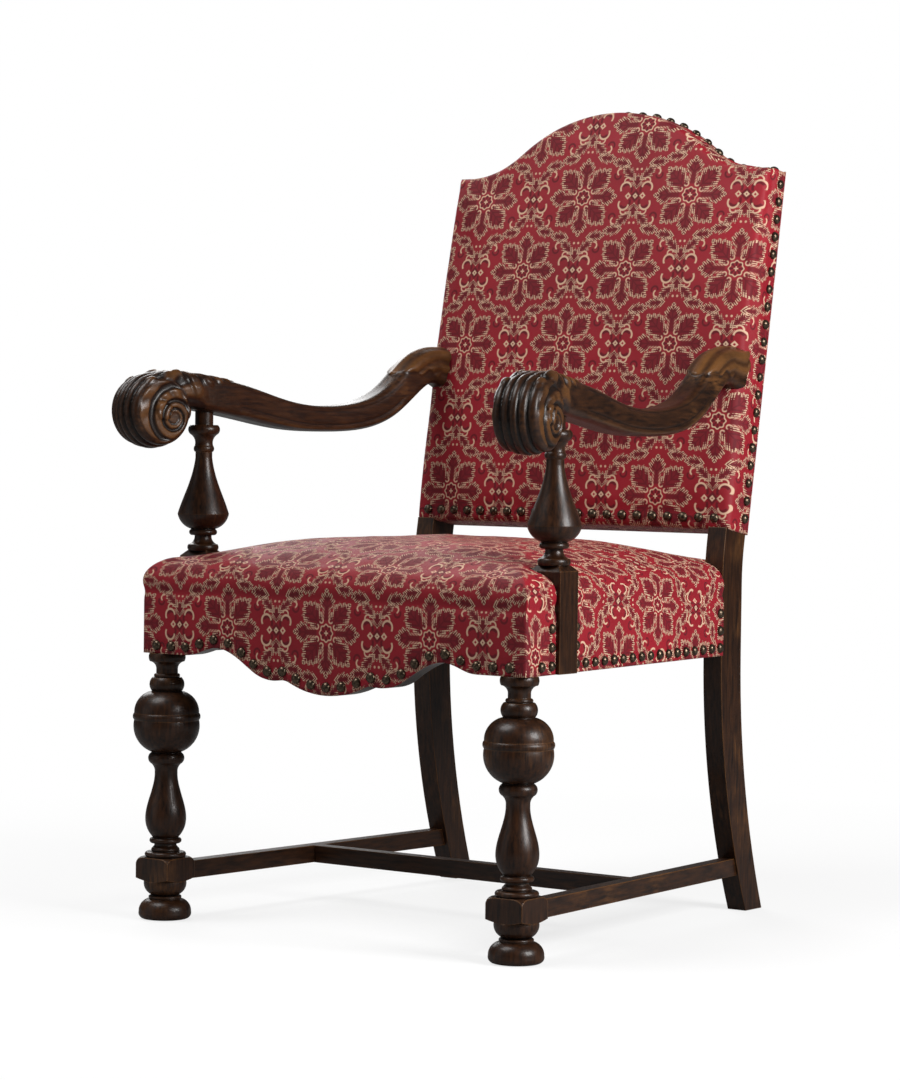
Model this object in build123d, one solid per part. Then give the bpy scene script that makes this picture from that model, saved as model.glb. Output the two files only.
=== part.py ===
from build123d import *
import os
from math import atan, cos, hypot, radians, sin, sqrt, tan

# An upholstered armchair with turned front legs, raked back and scrolled arms. Millimetres.
# X is across, with the sitter's left at +X, and Z is up from the floor. Until the last step
# Y runs back from the axis of the front legs. Pieces are made for +X and mirrored.

# Main frame
front_leg_spacing = 561.0
seat_rail_bottom = 345.0
seat_rail_height = 80.0
rail_thickness = 26.0
leg_head_side = 36.0
post_front_y = 492.0
post_depth = 48.0
post_width = 28.0
back_frame_width = 510.0
rear_foot_setback = 70.0
rear_foot_depth = 40.0
rake_angle = 9.8
rake_start_z = 439.0
rake_radius = 300.0

# Joints between the wooden pieces
tenon_length = 15.0
tenon_thickness = 10.0
tenon_shoulder = 12.0
joint_clearance = 0.2

# Front leg, from the floor up: radius and height of each turned member
foot_flat_radius = 27.0
foot_radius = 34.0
foot_swell_height = 9.0
foot_height = 26.0
foot_ring_radius = 20.0
foot_ring_height = 4.0
foot_neck_radius = 15.0
bowl_radius = 27.5
bowl_height = 19.0
block_side = 54.0
block_height = 31.0
block_corner_drop = 8.0
block_torus_radius = 24.0
block_torus_height = 7.0
collar_radius = 17.0
collar_height = 5.0
collar_neck_radius = 14.4
collar_neck_height = 6.0
vase_ring_radius = 18.0
vase_ring_height = 7.0
vase_base_radius = 16.0
vase_radius = 26.5
vase_neck_radius = 14.8
vase_flare_height = 11.0
ball_torus_radius = 19.0
ball_torus_height = 15.0
ball_base_radius = 18.0
ball_radius = 42.0
ball_lower_height = 42.0
ball_band_height = 9.0
ball_band_swell = 1.8
ball_upper_height = 28.0
ball_top_radius = 21.0
neck_torus_radius = 19.0
neck_torus_height = 18.0
neck_ring_radius = 15.5
neck_ring_height = 5.0
capital_neck_radius = 14.0
capital_neck_height = 5.0
capital_flare_height = 11.0
capital_radius = 22.5
capital_height = 11.0
bead_swell = 2.8

# Arm support: square block let into the side rail, and a turned baluster above it
support_y = 68.5
support_block_width = 46.0
support_block_depth = 38.0
support_block_rise = 51.0
support_block_corner = 7.0
support_housing_depth = 8.0
support_foot_radius = 19.0
support_foot_height = 8.0
support_neck_radius = 11.2
support_neck_height = 12.0
support_ring_radius = 15.5
support_ring_height = 8.0
support_belly_radius = 33.5
support_belly_height = 20.0
support_throat_radius = 11.0
support_throat_height = 8.0
support_small_ring_radius = 12.0
support_small_ring_height = 8.0
support_cup_height = 15.0
support_top_ring_radius = 18.0
support_top_ring_height = 12.0
support_peg_radius = 11.9
support_peg_bare = 16.0
support_peg_depth = 20.0

# Arm: the roll at the front, and the arm's middle line, depth and width along its length
arm_underside = 656.0
arm_roll_radius = 46.5
arm_roll_step = 3.0
arm_roll_width = 57.0
arm_roll_reach = 86.0
arm_roll_rise = 2.0
arm_flare_angle = 12.5
arm_reeds = 5
arm_reed_swell = 2.5
arm_eye_radius = 11.0
arm_eye_height = 3.0
arm_edge_radius = 11.0
arm_rear_depth = 47.0
arm_rear_width = 32.0
arm_rear_rise = 80.0
arm_rear_inset = 1.2
arm_bend_depth = 46.0
arm_bend_width = 38.0
arm_bend_rise = 51.0
arm_shoulder_depth = 47.5
arm_shoulder_width = 36.0
arm_shoulder_rise = 69.0
arm_knee_depth = 42.0
arm_knee_width = 41.0
arm_knee_rise = 20.0
arm_dip_depth = 35.0
arm_dip_width = 41.0
arm_dip_rise = -6.0
arm_swell_depth = 38.0
arm_swell_width = 43.0
arm_swell_rise = -1.5
arm_wrist_depth = 44.0
arm_wrist_width = 46.0
arm_wrist_rise = 13.0
arm_rest_depth = 45.0
arm_rest_width = 50.0
arm_rest_rise = 23.5
arm_peg_radius = 9.0
arm_peg_length = 20.0

# Stretchers
stretcher_middle_z = 60.5
stretcher_height = 23.0
stretcher_width = 19.0
cross_stretcher_width = 18.0
stretcher_tenon_thickness = 9.0
stretcher_tenon_shoulder = 3.0

# Scalloped lower edge of the front rail, drops measured down from the rail's bottom
scallop_cusp_x = 67.0
scallop_cusp_drop = 22.0
scallop_centre_drop = 39.0
scallop_lobe_x = 91.0
scallop_lobe_drop = 24.5
scallop_rise_x = 116.0
scallop_rise_drop = 17.0
scallop_hump_x = 181.0
scallop_hump_height = 12.0
scallop_end_x = 230.0

# Back, in its own plane: up the rake from its lower edge, and forward from the posts' rear face
back_bottom_z = 505.5
back_shoulder = 487.5
back_post_depth = 38.0
back_lower_rail_height = 55.0
crest_rail_height = 70.0
crest_rise = 86.0
crest_shoulder = 20.0
crest_dome_share = 0.987
back_corner_radius = 9.0
back_edge_radius = 7.0
back_crown_depth = 65.0
back_crown_radius = 3000.0
back_crown_up = 220.5

# Seat upholstery
cover = 3.0
rear_cover = 2.0
soft_clearance = 0.3
seat_corner_radius = 4.0
seat_side_swell = 4.0
seat_edge_radius = 28.0
seat_crown_z = 493.0
seat_crown_rise = 26.0
seat_crown_inset = 180.0
seat_crown_rounding = 0.4
seat_edge_bands = 4
seat_crown_bands = 4

# Webbing and hessian
strap_width = 50.0
strap_thickness = 2.0
strap_margin = 4.0
strap_pitch = 88.0
hessian_thickness = 1.0
seat_straps_along = 5
seat_straps_across = 4
back_straps_up = 4
back_straps_across = 5

# Nails and screws
nail_head_radius = 5.8
nail_head_height = 4.0
nail_shank_radius = 1.1
nail_length = 12.0
nail_pitch = 24.3
nail_inset = 10.5
nail_seat = 0.3
screw_head_radius = 4.5
screw_head_height = 3.0
screw_shank_radius = 2.0
corner_screw_length = 38.0
support_screw_length = 30.0
support_screw_pitch = 40.0
arm_screw_length = 60.0

# Corner blocks
corner_block_side = 48.0
corner_block_height = 40.0

# Worked out from the sizes above
leg_x = front_leg_spacing / 2
leg_half = leg_head_side / 2
seat_rail_top = seat_rail_bottom + seat_rail_height
post_outer_x = back_frame_width / 2
post_inner_x = post_outer_x - post_width
post_rear_y = post_front_y + post_depth
side_slope = (leg_x + leg_half - post_outer_x) / (post_front_y - leg_half)
side_angle = atan(side_slope)
front_rail_back = rail_thickness - leg_half
rear_rail_back = post_rear_y - rail_thickness / 4
rear_rail_front = rear_rail_back - rail_thickness
seat_rail_middle = seat_rail_bottom + seat_rail_height / 2
rail_tenon_height = seat_rail_height - 2 * tenon_shoulder
rake = radians(rake_angle)
bend_end = (post_rear_y + rake_radius * (1 - cos(rake)), rake_start_z + rake_radius * sin(rake))
back_rail_thickness = back_post_depth - 2 * strap_thickness - hessian_thickness
crest_half_width = post_outer_x - crest_shoulder
crest_dome_radius = crest_half_width * crest_dome_share
support_x = leg_x
support_outer_x = support_x + support_block_width / 2
support_block_top = seat_rail_top + support_block_rise


def post_rear_at(z):
    """Y of a rear post's back face at a height above the bend."""
    return bend_end[0] + (z - bend_end[1]) * tan(rake)


back_plane = Plane(
    origin=(0, post_rear_at(back_bottom_z), back_bottom_z),
    x_dir=(1, 0, 0),
    z_dir=(0, -cos(rake), sin(rake)),
)


def back_point(up, forward):
    """Y and Z of a point given up the back and forward of the posts' rear face."""
    place = back_plane.from_local_coords((0, up, forward))
    return place.Y, place.Z


def side_x(y, inset=0.0):
    """Half width of the seat frame at a depth, a little inside the side rail's outer face."""
    return leg_x + leg_half - (y - leg_half) * side_slope - inset / cos(side_angle)


def prism(points, low, high):
    """An upright solid on a polygon."""
    return extrude(Pos(0, 0, low) * make_face(Polyline(*points, close=True)), high - low)


def beam(start, end, width, height, grow=0.0):
    """A straight bar between two points with an upright section."""
    run = Vector(*end) - Vector(*start)
    plane = Plane(origin=start, x_dir=Vector(0, 0, 1).cross(run), z_dir=run)
    return extrude(plane * Rectangle(width + 2 * grow, height + 2 * grow), run.length)


def mirrored(shape):
    """The matching piece on the sitter's right."""
    return mirror(shape, about=Plane.YZ)


class Turning:
    """Outline of a turned piece, drawn upwards from a flat end and spun about Z."""

    def __init__(self, radius):
        self.here = (radius, 0.0)
        self.curve = Line((0, 0), self.here)

    def to(self, radius, rise, swell=0.0):
        """Goes to a new radius and height, straight or in an arc that swells outwards."""
        start = self.here
        end = (radius, start[1] + rise)
        run = hypot(radius - start[0], rise)
        if swell:
            middle_r = (start[0] + radius) / 2 + swell * rise / run
            middle_z = start[1] + rise / 2 - swell * (radius - start[0]) / run
            self.curve += ThreePointArc(start, (middle_r, middle_z), end)
        elif run:
            self.curve += Line(start, end)
        self.here = end
        return self

    def bead(self, radius, rise, swell=bead_swell):
        """A rounded ring that starts and ends at one radius."""
        return self.to(radius, 0).to(radius, rise, swell)

    def sweep(self, *points):
        """A flowing curve through radii and heights above the present point."""
        base = self.here[1]
        path = [self.here] + [(radius, base + rise) for radius, rise in points]
        self.curve += Spline(*path)
        self.here = path[-1]
        return self

    def solid(self):
        top = (0, self.here[1])
        outline = self.curve + Line(self.here, top) + Line(top, (0, 0))
        return revolve(Plane.XZ * make_face(outline), Axis.Z)


# Turned front legs
def leg_turning():
    """The leg below the seat rails; the vase takes up what the other members leave."""
    lower = foot_height + foot_ring_height + bowl_height + block_height + block_torus_height
    lower += collar_height + collar_neck_height + vase_ring_height
    upper = vase_flare_height + ball_torus_height + ball_lower_height + ball_band_height
    upper += ball_upper_height + neck_torus_height + neck_ring_height + capital_neck_height
    upper += capital_flare_height + capital_height
    vase = seat_rail_bottom - lower - upper
    leg = Turning(foot_flat_radius)
    leg.to(foot_radius, foot_swell_height, bead_swell)
    leg.to(foot_ring_radius, foot_height - foot_swell_height, bead_swell * 1.5)
    leg.bead(foot_ring_radius, foot_ring_height, bead_swell / 2)
    leg.to(foot_neck_radius, 0)
    leg.to(bowl_radius, bowl_height, bead_swell * 1.6)
    leg.to(block_torus_radius, 0)
    leg.to(block_torus_radius, block_height)
    leg.bead(block_torus_radius, block_torus_height, bead_swell)
    leg.bead(collar_radius, collar_height, bead_swell / 2)
    leg.to(collar_neck_radius, collar_neck_height / 2)
    leg.to(collar_neck_radius, collar_neck_height / 2)
    leg.bead(vase_ring_radius, vase_ring_height)
    leg.to(vase_base_radius, 0)
    middle_radius = (vase_radius + vase_neck_radius) / 2
    leg.sweep((vase_radius, vase * 0.29), (middle_radius, vase * 0.64), (vase_neck_radius, vase))
    leg.to(ball_torus_radius, vase_flare_height, -bead_swell / 2)
    leg.bead(ball_torus_radius, ball_torus_height, bead_swell * 1.6)
    leg.to(ball_base_radius, 0)
    leg.to(ball_radius, ball_lower_height, ball_lower_height * 0.22)
    leg.bead(ball_radius, ball_band_height, ball_band_swell)
    leg.to(ball_top_radius, ball_upper_height, ball_upper_height * 0.22)
    leg.bead(neck_torus_radius, neck_torus_height, bead_swell * 1.3)
    leg.bead(neck_ring_radius, neck_ring_height, bead_swell / 2)
    leg.to(capital_neck_radius, 0)
    leg.to(capital_neck_radius, capital_neck_height)
    leg.to(capital_radius, capital_flare_height, -bead_swell)
    leg.to(capital_radius, capital_height, bead_swell / 2)
    return leg.solid()


def leg_block():
    """The square block for the stretcher, its corners turned away above and below."""
    reach = block_side / sqrt(2)
    bevel = block_height - 1.5 * block_corner_drop
    blank = Turning(block_side / 2)
    blank.to(reach, block_corner_drop / 2)
    blank.to(reach, bevel)
    blank.to(block_side / 2, block_corner_drop, bead_swell)
    square = extrude(Rectangle(block_side, block_side), block_height)
    return Pos(0, 0, foot_height + foot_ring_height + bowl_height) * (square & blank.solid())


def leg_head():
    """The square head between the seat rails, its outer corner rounded under the cloth."""
    head = extrude(Pos(0, 0, seat_rail_bottom) * Rectangle(leg_head_side, leg_head_side), seat_rail_height)
    corner = head.edges().filter_by(Axis.Z).sort_by(Axis.X)[-2:].sort_by(Axis.Y)[0]
    return fillet(corner, seat_corner_radius)


# Tenons that run right through a rail, so one bar gives both of its ends
def side_tenon(grow=0.0):
    inset = rail_thickness / 2
    front = leg_half - tenon_length - grow
    rear = post_front_y + tenon_length + grow
    start = (side_x(front, inset), front, seat_rail_middle)
    end = (side_x(rear, inset), rear, seat_rail_middle)
    return beam(start, end, tenon_thickness, rail_tenon_height, grow)


def across(half, y, z, width, height, grow=0.0):
    """A bar across the chair, as long each way as it is given."""
    return beam((half + grow, y, z), (-half - grow, y, z), width, height, grow)


def front_tenon(grow=0.0):
    y = front_rail_back - rail_thickness / 2
    half = leg_x - leg_half + tenon_length
    return across(half, y, seat_rail_middle, tenon_thickness, rail_tenon_height, grow)


def rear_tenon(grow=0.0):
    y = (rear_rail_front + rear_rail_back) / 2
    half = post_inner_x + tenon_length
    return across(half, y, seat_rail_middle, tenon_thickness, rail_tenon_height, grow)


def back_bar(half, low, high, near, far, grow=0.0):
    """A bar across the back, given up the back and forward of its rear face."""
    box = Pos(0, (low + high) / 2, (near + far) / 2) * Box(
        2 * (half + grow), high - low + 2 * grow, far - near + 2 * grow
    )
    return back_plane.location * box


def back_tenon(low, high, grow=0.0):
    middle = back_rail_thickness / 2
    near = middle - tenon_thickness / 2
    far = middle + tenon_thickness / 2
    return back_bar(post_inner_x + tenon_length, low + tenon_shoulder, high - tenon_shoulder, near, far, grow)


# Rear posts
def post_blank():
    """A rear post as sawn: sabre leg, upright at the seat, raked and set back behind the padding."""
    foot_front = (post_front_y + rear_foot_setback, 0)
    foot_rear = (post_front_y + rear_foot_setback + rear_foot_depth, 0)
    rear_low = (post_rear_y, seat_rail_bottom)
    rear_bend = (post_rear_y, rake_start_z)
    front_low = (post_front_y, seat_rail_bottom)
    front_bend = (post_front_y, rake_start_z)
    wide_radius = rake_radius + post_depth
    front_end = (bend_end[0] - post_depth * cos(rake), rake_start_z + wide_radius * sin(rake))
    top_rear = back_point(back_shoulder, 0)
    top_front = back_point(back_shoulder, back_post_depth)
    step_in = back_point(0, back_post_depth)
    step_out = back_point(0, post_depth)
    outline = Line(foot_front, foot_rear)
    outline += TangentArc(rear_low, foot_rear, tangent=(0, -1))
    outline += Line(rear_low, rear_bend)
    outline += TangentArc(rear_bend, bend_end, tangent=(0, 1))
    outline += Polyline(bend_end, top_rear, top_front, step_in, step_out, front_end)
    outline += TangentArc(front_bend, front_end, tangent=(0, 1))
    outline += Line(front_bend, front_low)
    outline += TangentArc(front_low, foot_front, tangent=(0, -1))
    return extrude(Pos(post_inner_x, 0, 0) * (Plane.YZ * make_face(outline)), post_width)


def post_sweep(face_y, setback, z):
    """Y of a post's front or rear face below the seat, on the arc down to its foot."""
    radius = (seat_rail_bottom**2 + setback**2) / (2 * setback)
    return face_y + radius - sqrt(radius**2 - (seat_rail_bottom - z) ** 2)


# Stretchers
def stretcher_line():
    """Middle points of a side stretcher, from the leg's axis to the middle of the post."""
    rear_setback = rear_foot_setback + rear_foot_depth - post_depth
    front_y = post_sweep(post_front_y, rear_foot_setback, stretcher_middle_z)
    rear_y = (front_y + post_sweep(post_rear_y, rear_setback, stretcher_middle_z)) / 2
    start = Vector(leg_x, 0, stretcher_middle_z)
    return start, Vector(post_outer_x - post_width / 2, rear_y, stretcher_middle_z)


def stretcher_tenon(grow=0.0):
    """The side stretcher's tenons, stopping inside the leg's block and the post."""
    start, end = stretcher_line()
    along = (end - start).normalized()
    first = start + along * (block_side / 2 - tenon_length - grow)
    last = end + along * grow
    height = stretcher_height - 2 * stretcher_tenon_shoulder
    return beam(first, last, stretcher_tenon_thickness, height, grow)


def side_stretcher(post, cross_mortise):
    start, end = stretcher_line()
    bar = beam(start, end, stretcher_width, stretcher_height)
    in_leg = Pos(leg_x, 0, stretcher_middle_z) * Box(block_side, block_side, block_height + stretcher_height)
    body = bar - post - in_leg
    return body + stretcher_tenon() - cross_mortise


def cross_stretcher_half(y):
    """Half the distance between the side stretchers' inner faces at a depth."""
    start, end = stretcher_line()
    lean = (start.X - end.X) / (end.Y - start.Y)
    return start.X - lean * y - stretcher_width / 2 * sqrt(1 + lean * lean)


def cross_stretcher_y():
    start, end = stretcher_line()
    return (start.Y + end.Y) / 2


def cross_tenon(grow=0.0):
    y = cross_stretcher_y()
    half = cross_stretcher_half(y) + stretcher_width / 2
    height = stretcher_height - 2 * stretcher_tenon_shoulder
    return across(half, y, stretcher_middle_z, stretcher_tenon_thickness, height, grow)


def cross_stretcher():
    y = cross_stretcher_y()
    front = y - cross_stretcher_width / 2
    rear = y + cross_stretcher_width / 2
    left_front, left_rear = cross_stretcher_half(front), cross_stretcher_half(rear)
    plan = [(left_front, front), (left_rear, rear), (-left_rear, rear), (-left_front, front)]
    low = stretcher_middle_z - stretcher_height / 2
    return prism(plan, low, low + stretcher_height) + cross_tenon()


# Seat rails
def scallop(half):
    """The front rail's lower edge from side to side, drawn level out to a half width."""
    base = seat_rail_bottom
    cusp = (scallop_cusp_x, base - scallop_cusp_drop)
    lobe = (scallop_lobe_x, base - scallop_lobe_drop)
    rise = (scallop_rise_x, base - scallop_rise_drop)
    hump = (scallop_hump_x, base + scallop_hump_height)
    end = (scallop_end_x, base)
    climb = ((rise[0] + hump[0]) / 2, (rise[1] + hump[1]) / 2 + scallop_hump_height / 2)
    fall = ((hump[0] + end[0]) / 2, (hump[1] + end[1]) / 2)
    right = ThreePointArc(cusp, lobe, rise) + Spline(rise, climb, hump, fall, end) + Line(end, (half, base))
    left = mirror(right, about=Plane.YZ)
    centre = ThreePointArc((-cusp[0], cusp[1]), (0, base - scallop_centre_drop), cusp)
    return left + centre + right


def apron(half, top, front, back):
    """A solid above the scalloped edge, between two depths."""
    sides = Polyline((half, seat_rail_bottom), (half, top), (-half, top), (-half, seat_rail_bottom))
    face = make_face(scallop(half) + sides)
    return extrude(Pos(0, back, 0) * (Plane.XZ * face), back - front)


def front_rail():
    return apron(leg_x - leg_half, seat_rail_top, -leg_half, front_rail_back) + front_tenon()


def rear_rail():
    y = (rear_rail_front + rear_rail_back) / 2
    return across(post_inner_x, y, seat_rail_middle, rail_thickness, seat_rail_height) + rear_tenon()


def side_rail():
    plan = [
        (side_x(leg_half), leg_half),
        (side_x(post_front_y), post_front_y),
        (side_x(post_front_y, rail_thickness), post_front_y),
        (side_x(leg_half, rail_thickness), leg_half),
    ]
    rail = prism(plan, seat_rail_bottom, seat_rail_top) + side_tenon()
    return rail - support_tongue(joint_clearance)


# Arm supports
def support_tongue(grow=0.0):
    """The lower part of the support's block, let into the side rail's outer face."""
    inner = side_x(support_y + support_block_depth / 2) - support_housing_depth
    width = support_outer_x - inner
    centre = Pos((support_outer_x + inner) / 2, support_y, seat_rail_middle)
    return centre * Box(width + 2 * grow, support_block_depth + 2 * grow, seat_rail_height + 2 * grow)


def support_block(grow=0.0):
    """The part of the block that stands on the side rail."""
    centre = Pos(support_x, support_y, seat_rail_top + support_block_rise / 2)
    return centre * Box(
        support_block_width + 2 * grow, support_block_depth + 2 * grow, support_block_rise + 2 * grow
    )


def support_baluster():
    """The turned part; its pear takes up what the other members leave below the arm."""
    fixed = support_foot_height + support_neck_height + support_ring_height + support_belly_height
    fixed += support_throat_height + support_small_ring_height + support_cup_height
    fixed += support_top_ring_height + support_peg_bare
    pear = arm_underside - support_block_top - fixed
    turning = Turning(support_foot_radius)
    turning.bead(support_foot_radius, support_foot_height, bead_swell / 2)
    turning.to(support_neck_radius, support_neck_height, -bead_swell)
    turning.bead(support_ring_radius, support_ring_height)
    turning.to(support_belly_radius, support_belly_height, support_belly_height * 0.2)
    slim = support_belly_radius - support_throat_radius
    shares = ((0.77, 0.21), (0.41, 0.5), (0.14, 0.77), (0.0, 1.0))
    turning.sweep(*[(support_throat_radius + slim * swell, pear * rise) for swell, rise in shares])
    turning.to(support_throat_radius, support_throat_height)
    turning.bead(support_small_ring_radius, support_small_ring_height, bead_swell / 2)
    turning.to(support_top_ring_radius, support_cup_height, -bead_swell)
    turning.bead(support_top_ring_radius, support_top_ring_height)
    turning.to(support_peg_radius, 0)
    turning.to(support_peg_radius, support_peg_bare + support_peg_depth)
    return Pos(support_x, support_y, support_block_top) * turning.solid()


def arm_support():
    block = support_block()
    block = chamfer(block.faces().sort_by(Axis.Z)[-1].edges(), support_block_corner)
    return block + support_tongue() + support_baluster()


# Arms
def arm_line():
    """Stations along the arm: middle point, depth and width of each, from the post to the roll."""
    end_rise = arm_underside + arm_rear_rise
    up = (end_rise - back_point(0, back_post_depth)[1]) / cos(rake)
    run = back_point(up, back_post_depth)[0] - support_y
    inward = support_x - post_outer_x + arm_rear_width / 2 + arm_rear_inset
    along = [
        (1.06, arm_rear_rise, arm_rear_depth, arm_rear_width),
        (0.90, arm_shoulder_rise, arm_shoulder_depth, arm_shoulder_width),
        (0.81, arm_bend_rise, arm_bend_depth, arm_bend_width),
        (0.72, arm_knee_rise, arm_knee_depth, arm_knee_width),
        (0.47, arm_dip_rise, arm_dip_depth, arm_dip_width),
        (0.30, arm_swell_rise, arm_swell_depth, arm_swell_width),
        (0.14, arm_wrist_rise, arm_wrist_depth, arm_wrist_width),
        (0.0, arm_rest_rise, arm_rest_depth, arm_rest_width),
    ]
    stations = []
    for share, rise, depth, width in along:
        place = Vector(support_x - inward * share, support_y + share * run, arm_underside + rise)
        stations.append((place, depth, width))
    roll = roll_centre()
    over = roll.Z + arm_roll_radius + arm_reed_swell - arm_rest_depth / 2
    halfway = (Vector(support_x, support_y, over) + Vector(roll.X, roll.Y, over)) * 0.5
    stations.append((halfway, arm_rest_depth, (arm_rest_width + arm_roll_width) / 2))
    stations.append((Vector(roll.X, roll.Y, over), arm_rest_depth, arm_roll_width - arm_roll_step))
    return stations


def roll_centre():
    """Middle of the roll at the arm's front end."""
    flare = radians(arm_flare_angle)
    x = support_x + arm_roll_reach * sin(flare)
    y = support_y - arm_roll_reach * cos(flare)
    return Vector(x, y, arm_underside + arm_roll_rise)


def arm_body(grow=0.0):
    """The sweep of the arm from post to roll, as a loft of rounded sections."""
    stations = arm_line()
    middles = [place for place, depth, width in stations]
    sections = []
    for i, (place, depth, width) in enumerate(stations):
        along = middles[min(i + 1, len(middles) - 1)] - middles[max(i - 1, 0)]
        plane = Plane(origin=place, x_dir=Vector(0, 0, 1).cross(along), z_dir=along)
        sections.append(plane * RectangleRounded(width + 2 * grow, depth + 2 * grow, arm_edge_radius + grow))
    return loft(sections)


def arm_roll():
    """The reeded roll, with a low disc and an eye on each side."""
    reed = arm_roll_width / arm_reeds
    turning = Turning(arm_eye_radius)
    turning.to(arm_eye_radius, arm_eye_height)
    turning.to(arm_roll_radius - 2 * arm_roll_step, 0)
    middle = (arm_reeds - 1) / 2
    for i in range(arm_reeds):
        inward = min(i + 1, arm_reeds - 1 - i)
        step = max(middle - inward, 0)
        turning.to(arm_roll_radius - step * arm_roll_step, reed, arm_reed_swell)
    turning.to(arm_eye_radius, 0)
    turning.to(arm_eye_radius, arm_eye_height)
    flare = radians(arm_flare_angle)
    axis = Vector(cos(flare), sin(flare), 0)
    start = roll_centre() - axis * (arm_roll_width / 2 + arm_eye_height)
    return Plane(origin=start, x_dir=(0, 0, 1), z_dir=axis).location * turning.solid()


def arm_peg(grow=0.0):
    """The round tenon that enters the rear post, and the depth at which the arm meets the post."""
    middle = (arm_rear_rise + arm_shoulder_rise) / 2 + arm_underside
    up = (middle - back_point(0, back_post_depth)[1]) / cos(rake)
    peg = Cylinder(arm_peg_radius + grow, 2 * arm_peg_length + 2 * grow)
    return back_plane.location * (Pos(post_outer_x - post_width / 2, up, back_post_depth) * peg)


def arm():
    behind = Pos(0, back_shoulder / 2, back_post_depth - post_depth) * Box(
        2 * back_frame_width, 2 * back_shoulder, 2 * post_depth
    )
    body = arm_body() + arm_roll() - back_plane.location * behind + arm_peg()
    socket = Pos(support_x, support_y, arm_underside) * Cylinder(
        support_peg_radius + joint_clearance, 2 * support_peg_depth + 2 * joint_clearance
    )
    return body - socket


# Back frame and upholstery forms
def crest_curve(grow=0.0):
    """The back's upper edge from side to side: level shoulders, hollows and a dome."""
    turn = 2 * atan(crest_rise / crest_half_width)
    hollow_radius = crest_half_width / sin(turn) - crest_dome_radius
    dome_centre = back_shoulder + crest_rise - crest_dome_radius
    hollow_centre = back_shoulder + hollow_radius
    dome = crest_dome_radius + grow
    hollow = hollow_radius - grow
    shoulder = (crest_half_width, back_shoulder + grow)
    dip = (crest_half_width - hollow * sin(turn / 2), hollow_centre - hollow * cos(turn / 2))
    join = (dome * sin(turn), dome_centre + dome * cos(turn))
    corner = (post_outer_x + grow, back_shoulder + grow)
    right = ThreePointArc(join, dip, shoulder) + Line(shoulder, corner)
    middle = ThreePointArc((-join[0], join[1]), (0, dome_centre + dome), join)
    return mirror(right, about=Plane.YZ) + middle + right


def back_outline(grow=0.0):
    """The back as seen from the front, larger all round by a given amount."""
    half = post_outer_x + grow
    top = back_shoulder + grow
    face = make_face(crest_curve(grow) + Polyline((half, top), (half, -grow), (-half, -grow), (-half, top)))
    corners = [v for v in face.vertices() if abs(abs(v.X) - half) < 0.001]
    return fillet(corners, back_corner_radius + grow)


def back_form(grow=0.0):
    """The padded back: square at the sides, with a crown that is part of a ball and a soft edge."""
    block = extrude(back_outline(grow), back_crown_depth + 2 * cover)
    ball = Pos(0, back_crown_up, back_crown_depth - back_crown_radius) * Sphere(back_crown_radius + grow)
    form = block & ball
    rim = form.faces().sort_by(Axis.Z)[-1].edges()
    return back_plane.location * fillet(rim, back_edge_radius + grow)


def crest_low():
    return back_shoulder - crest_rail_height


def crest_rail():
    top = back_shoulder + crest_rise
    window = Pos(0, (crest_low() + top) / 2) * Rectangle(2 * post_inner_x, top - crest_low())
    rail = back_plane.location * extrude(back_outline() & window, back_rail_thickness)
    return rail + back_tenon(crest_low(), back_shoulder)


def lower_back_rail():
    rail = back_bar(post_inner_x, 0, back_lower_rail_height, 0, back_rail_thickness)
    return rail + back_tenon(0, back_lower_rail_height)


# Seat upholstery
def seat_plan(grow=0.0, rounding=0.0):
    front = -leg_half - grow
    rear = rear_rail_back + grow
    corners = [(side_x(front, -grow), front), (side_x(rear, -grow), rear)]
    corners += [(-x, y) for x, y in reversed(corners)]
    face = make_face(Polyline(*corners, close=True))
    return fillet(face.vertices(), seat_corner_radius + rounding)


def seat_form(grow=0.0):
    """The stuffed seat: upright beside the rails, swelling above them, with a soft edge and a crown."""
    low = seat_rail_bottom - scallop_centre_drop - cover
    skirt = extrude(Pos(0, 0, low) * seat_plan(grow, grow), seat_rail_top - low)
    edge_z = seat_crown_z - cover - seat_crown_rise - seat_edge_radius
    sections = [Pos(0, 0, seat_rail_top) * seat_plan(grow, grow)]
    for i in range(seat_edge_bands):
        turn = radians(90) * i / seat_edge_bands
        inset = seat_edge_radius * (1 - cos(turn)) - seat_side_swell
        out = grow * cos(turn)
        up = edge_z + (seat_edge_radius + grow) * sin(turn)
        sections.append(Pos(0, 0, up) * seat_plan(out - inset, max(inset, 0) + out))
    edge_inset = seat_edge_radius - seat_side_swell
    for i in range(seat_crown_bands):
        share = i / (seat_crown_bands - 1)
        inset = edge_inset + (seat_crown_inset - edge_inset) * share
        up = seat_crown_z - cover - seat_crown_rise * (1 - share) ** 2 + grow
        sections.append(Pos(0, 0, up) * seat_plan(-inset, inset * seat_crown_rounding))
    return skirt + loft(sections, ruled=True)


def seat_cutouts():
    """What the seat's soft pieces are cut round: the posts and the arm supports' blocks."""
    depth = 2 * post_depth
    inner = post_inner_x - soft_clearance
    post = Pos(inner + leg_x / 2, post_front_y - soft_clearance + depth / 2, seat_rail_top) * Box(
        leg_x, depth, 2 * seat_rail_top
    )
    tall = Pos(support_x, support_y, seat_rail_top) * Box(
        support_block_width + 2 * soft_clearance,
        support_block_depth + 2 * soft_clearance,
        2 * (seat_crown_z - seat_rail_top),
    )
    low = Pos(support_outer_x, support_y, seat_rail_bottom) * Box(
        support_block_width, support_block_depth + 2 * soft_clearance, 2 * seat_rail_height
    )
    right = post + tall + low
    return right + mirrored(right)


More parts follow.
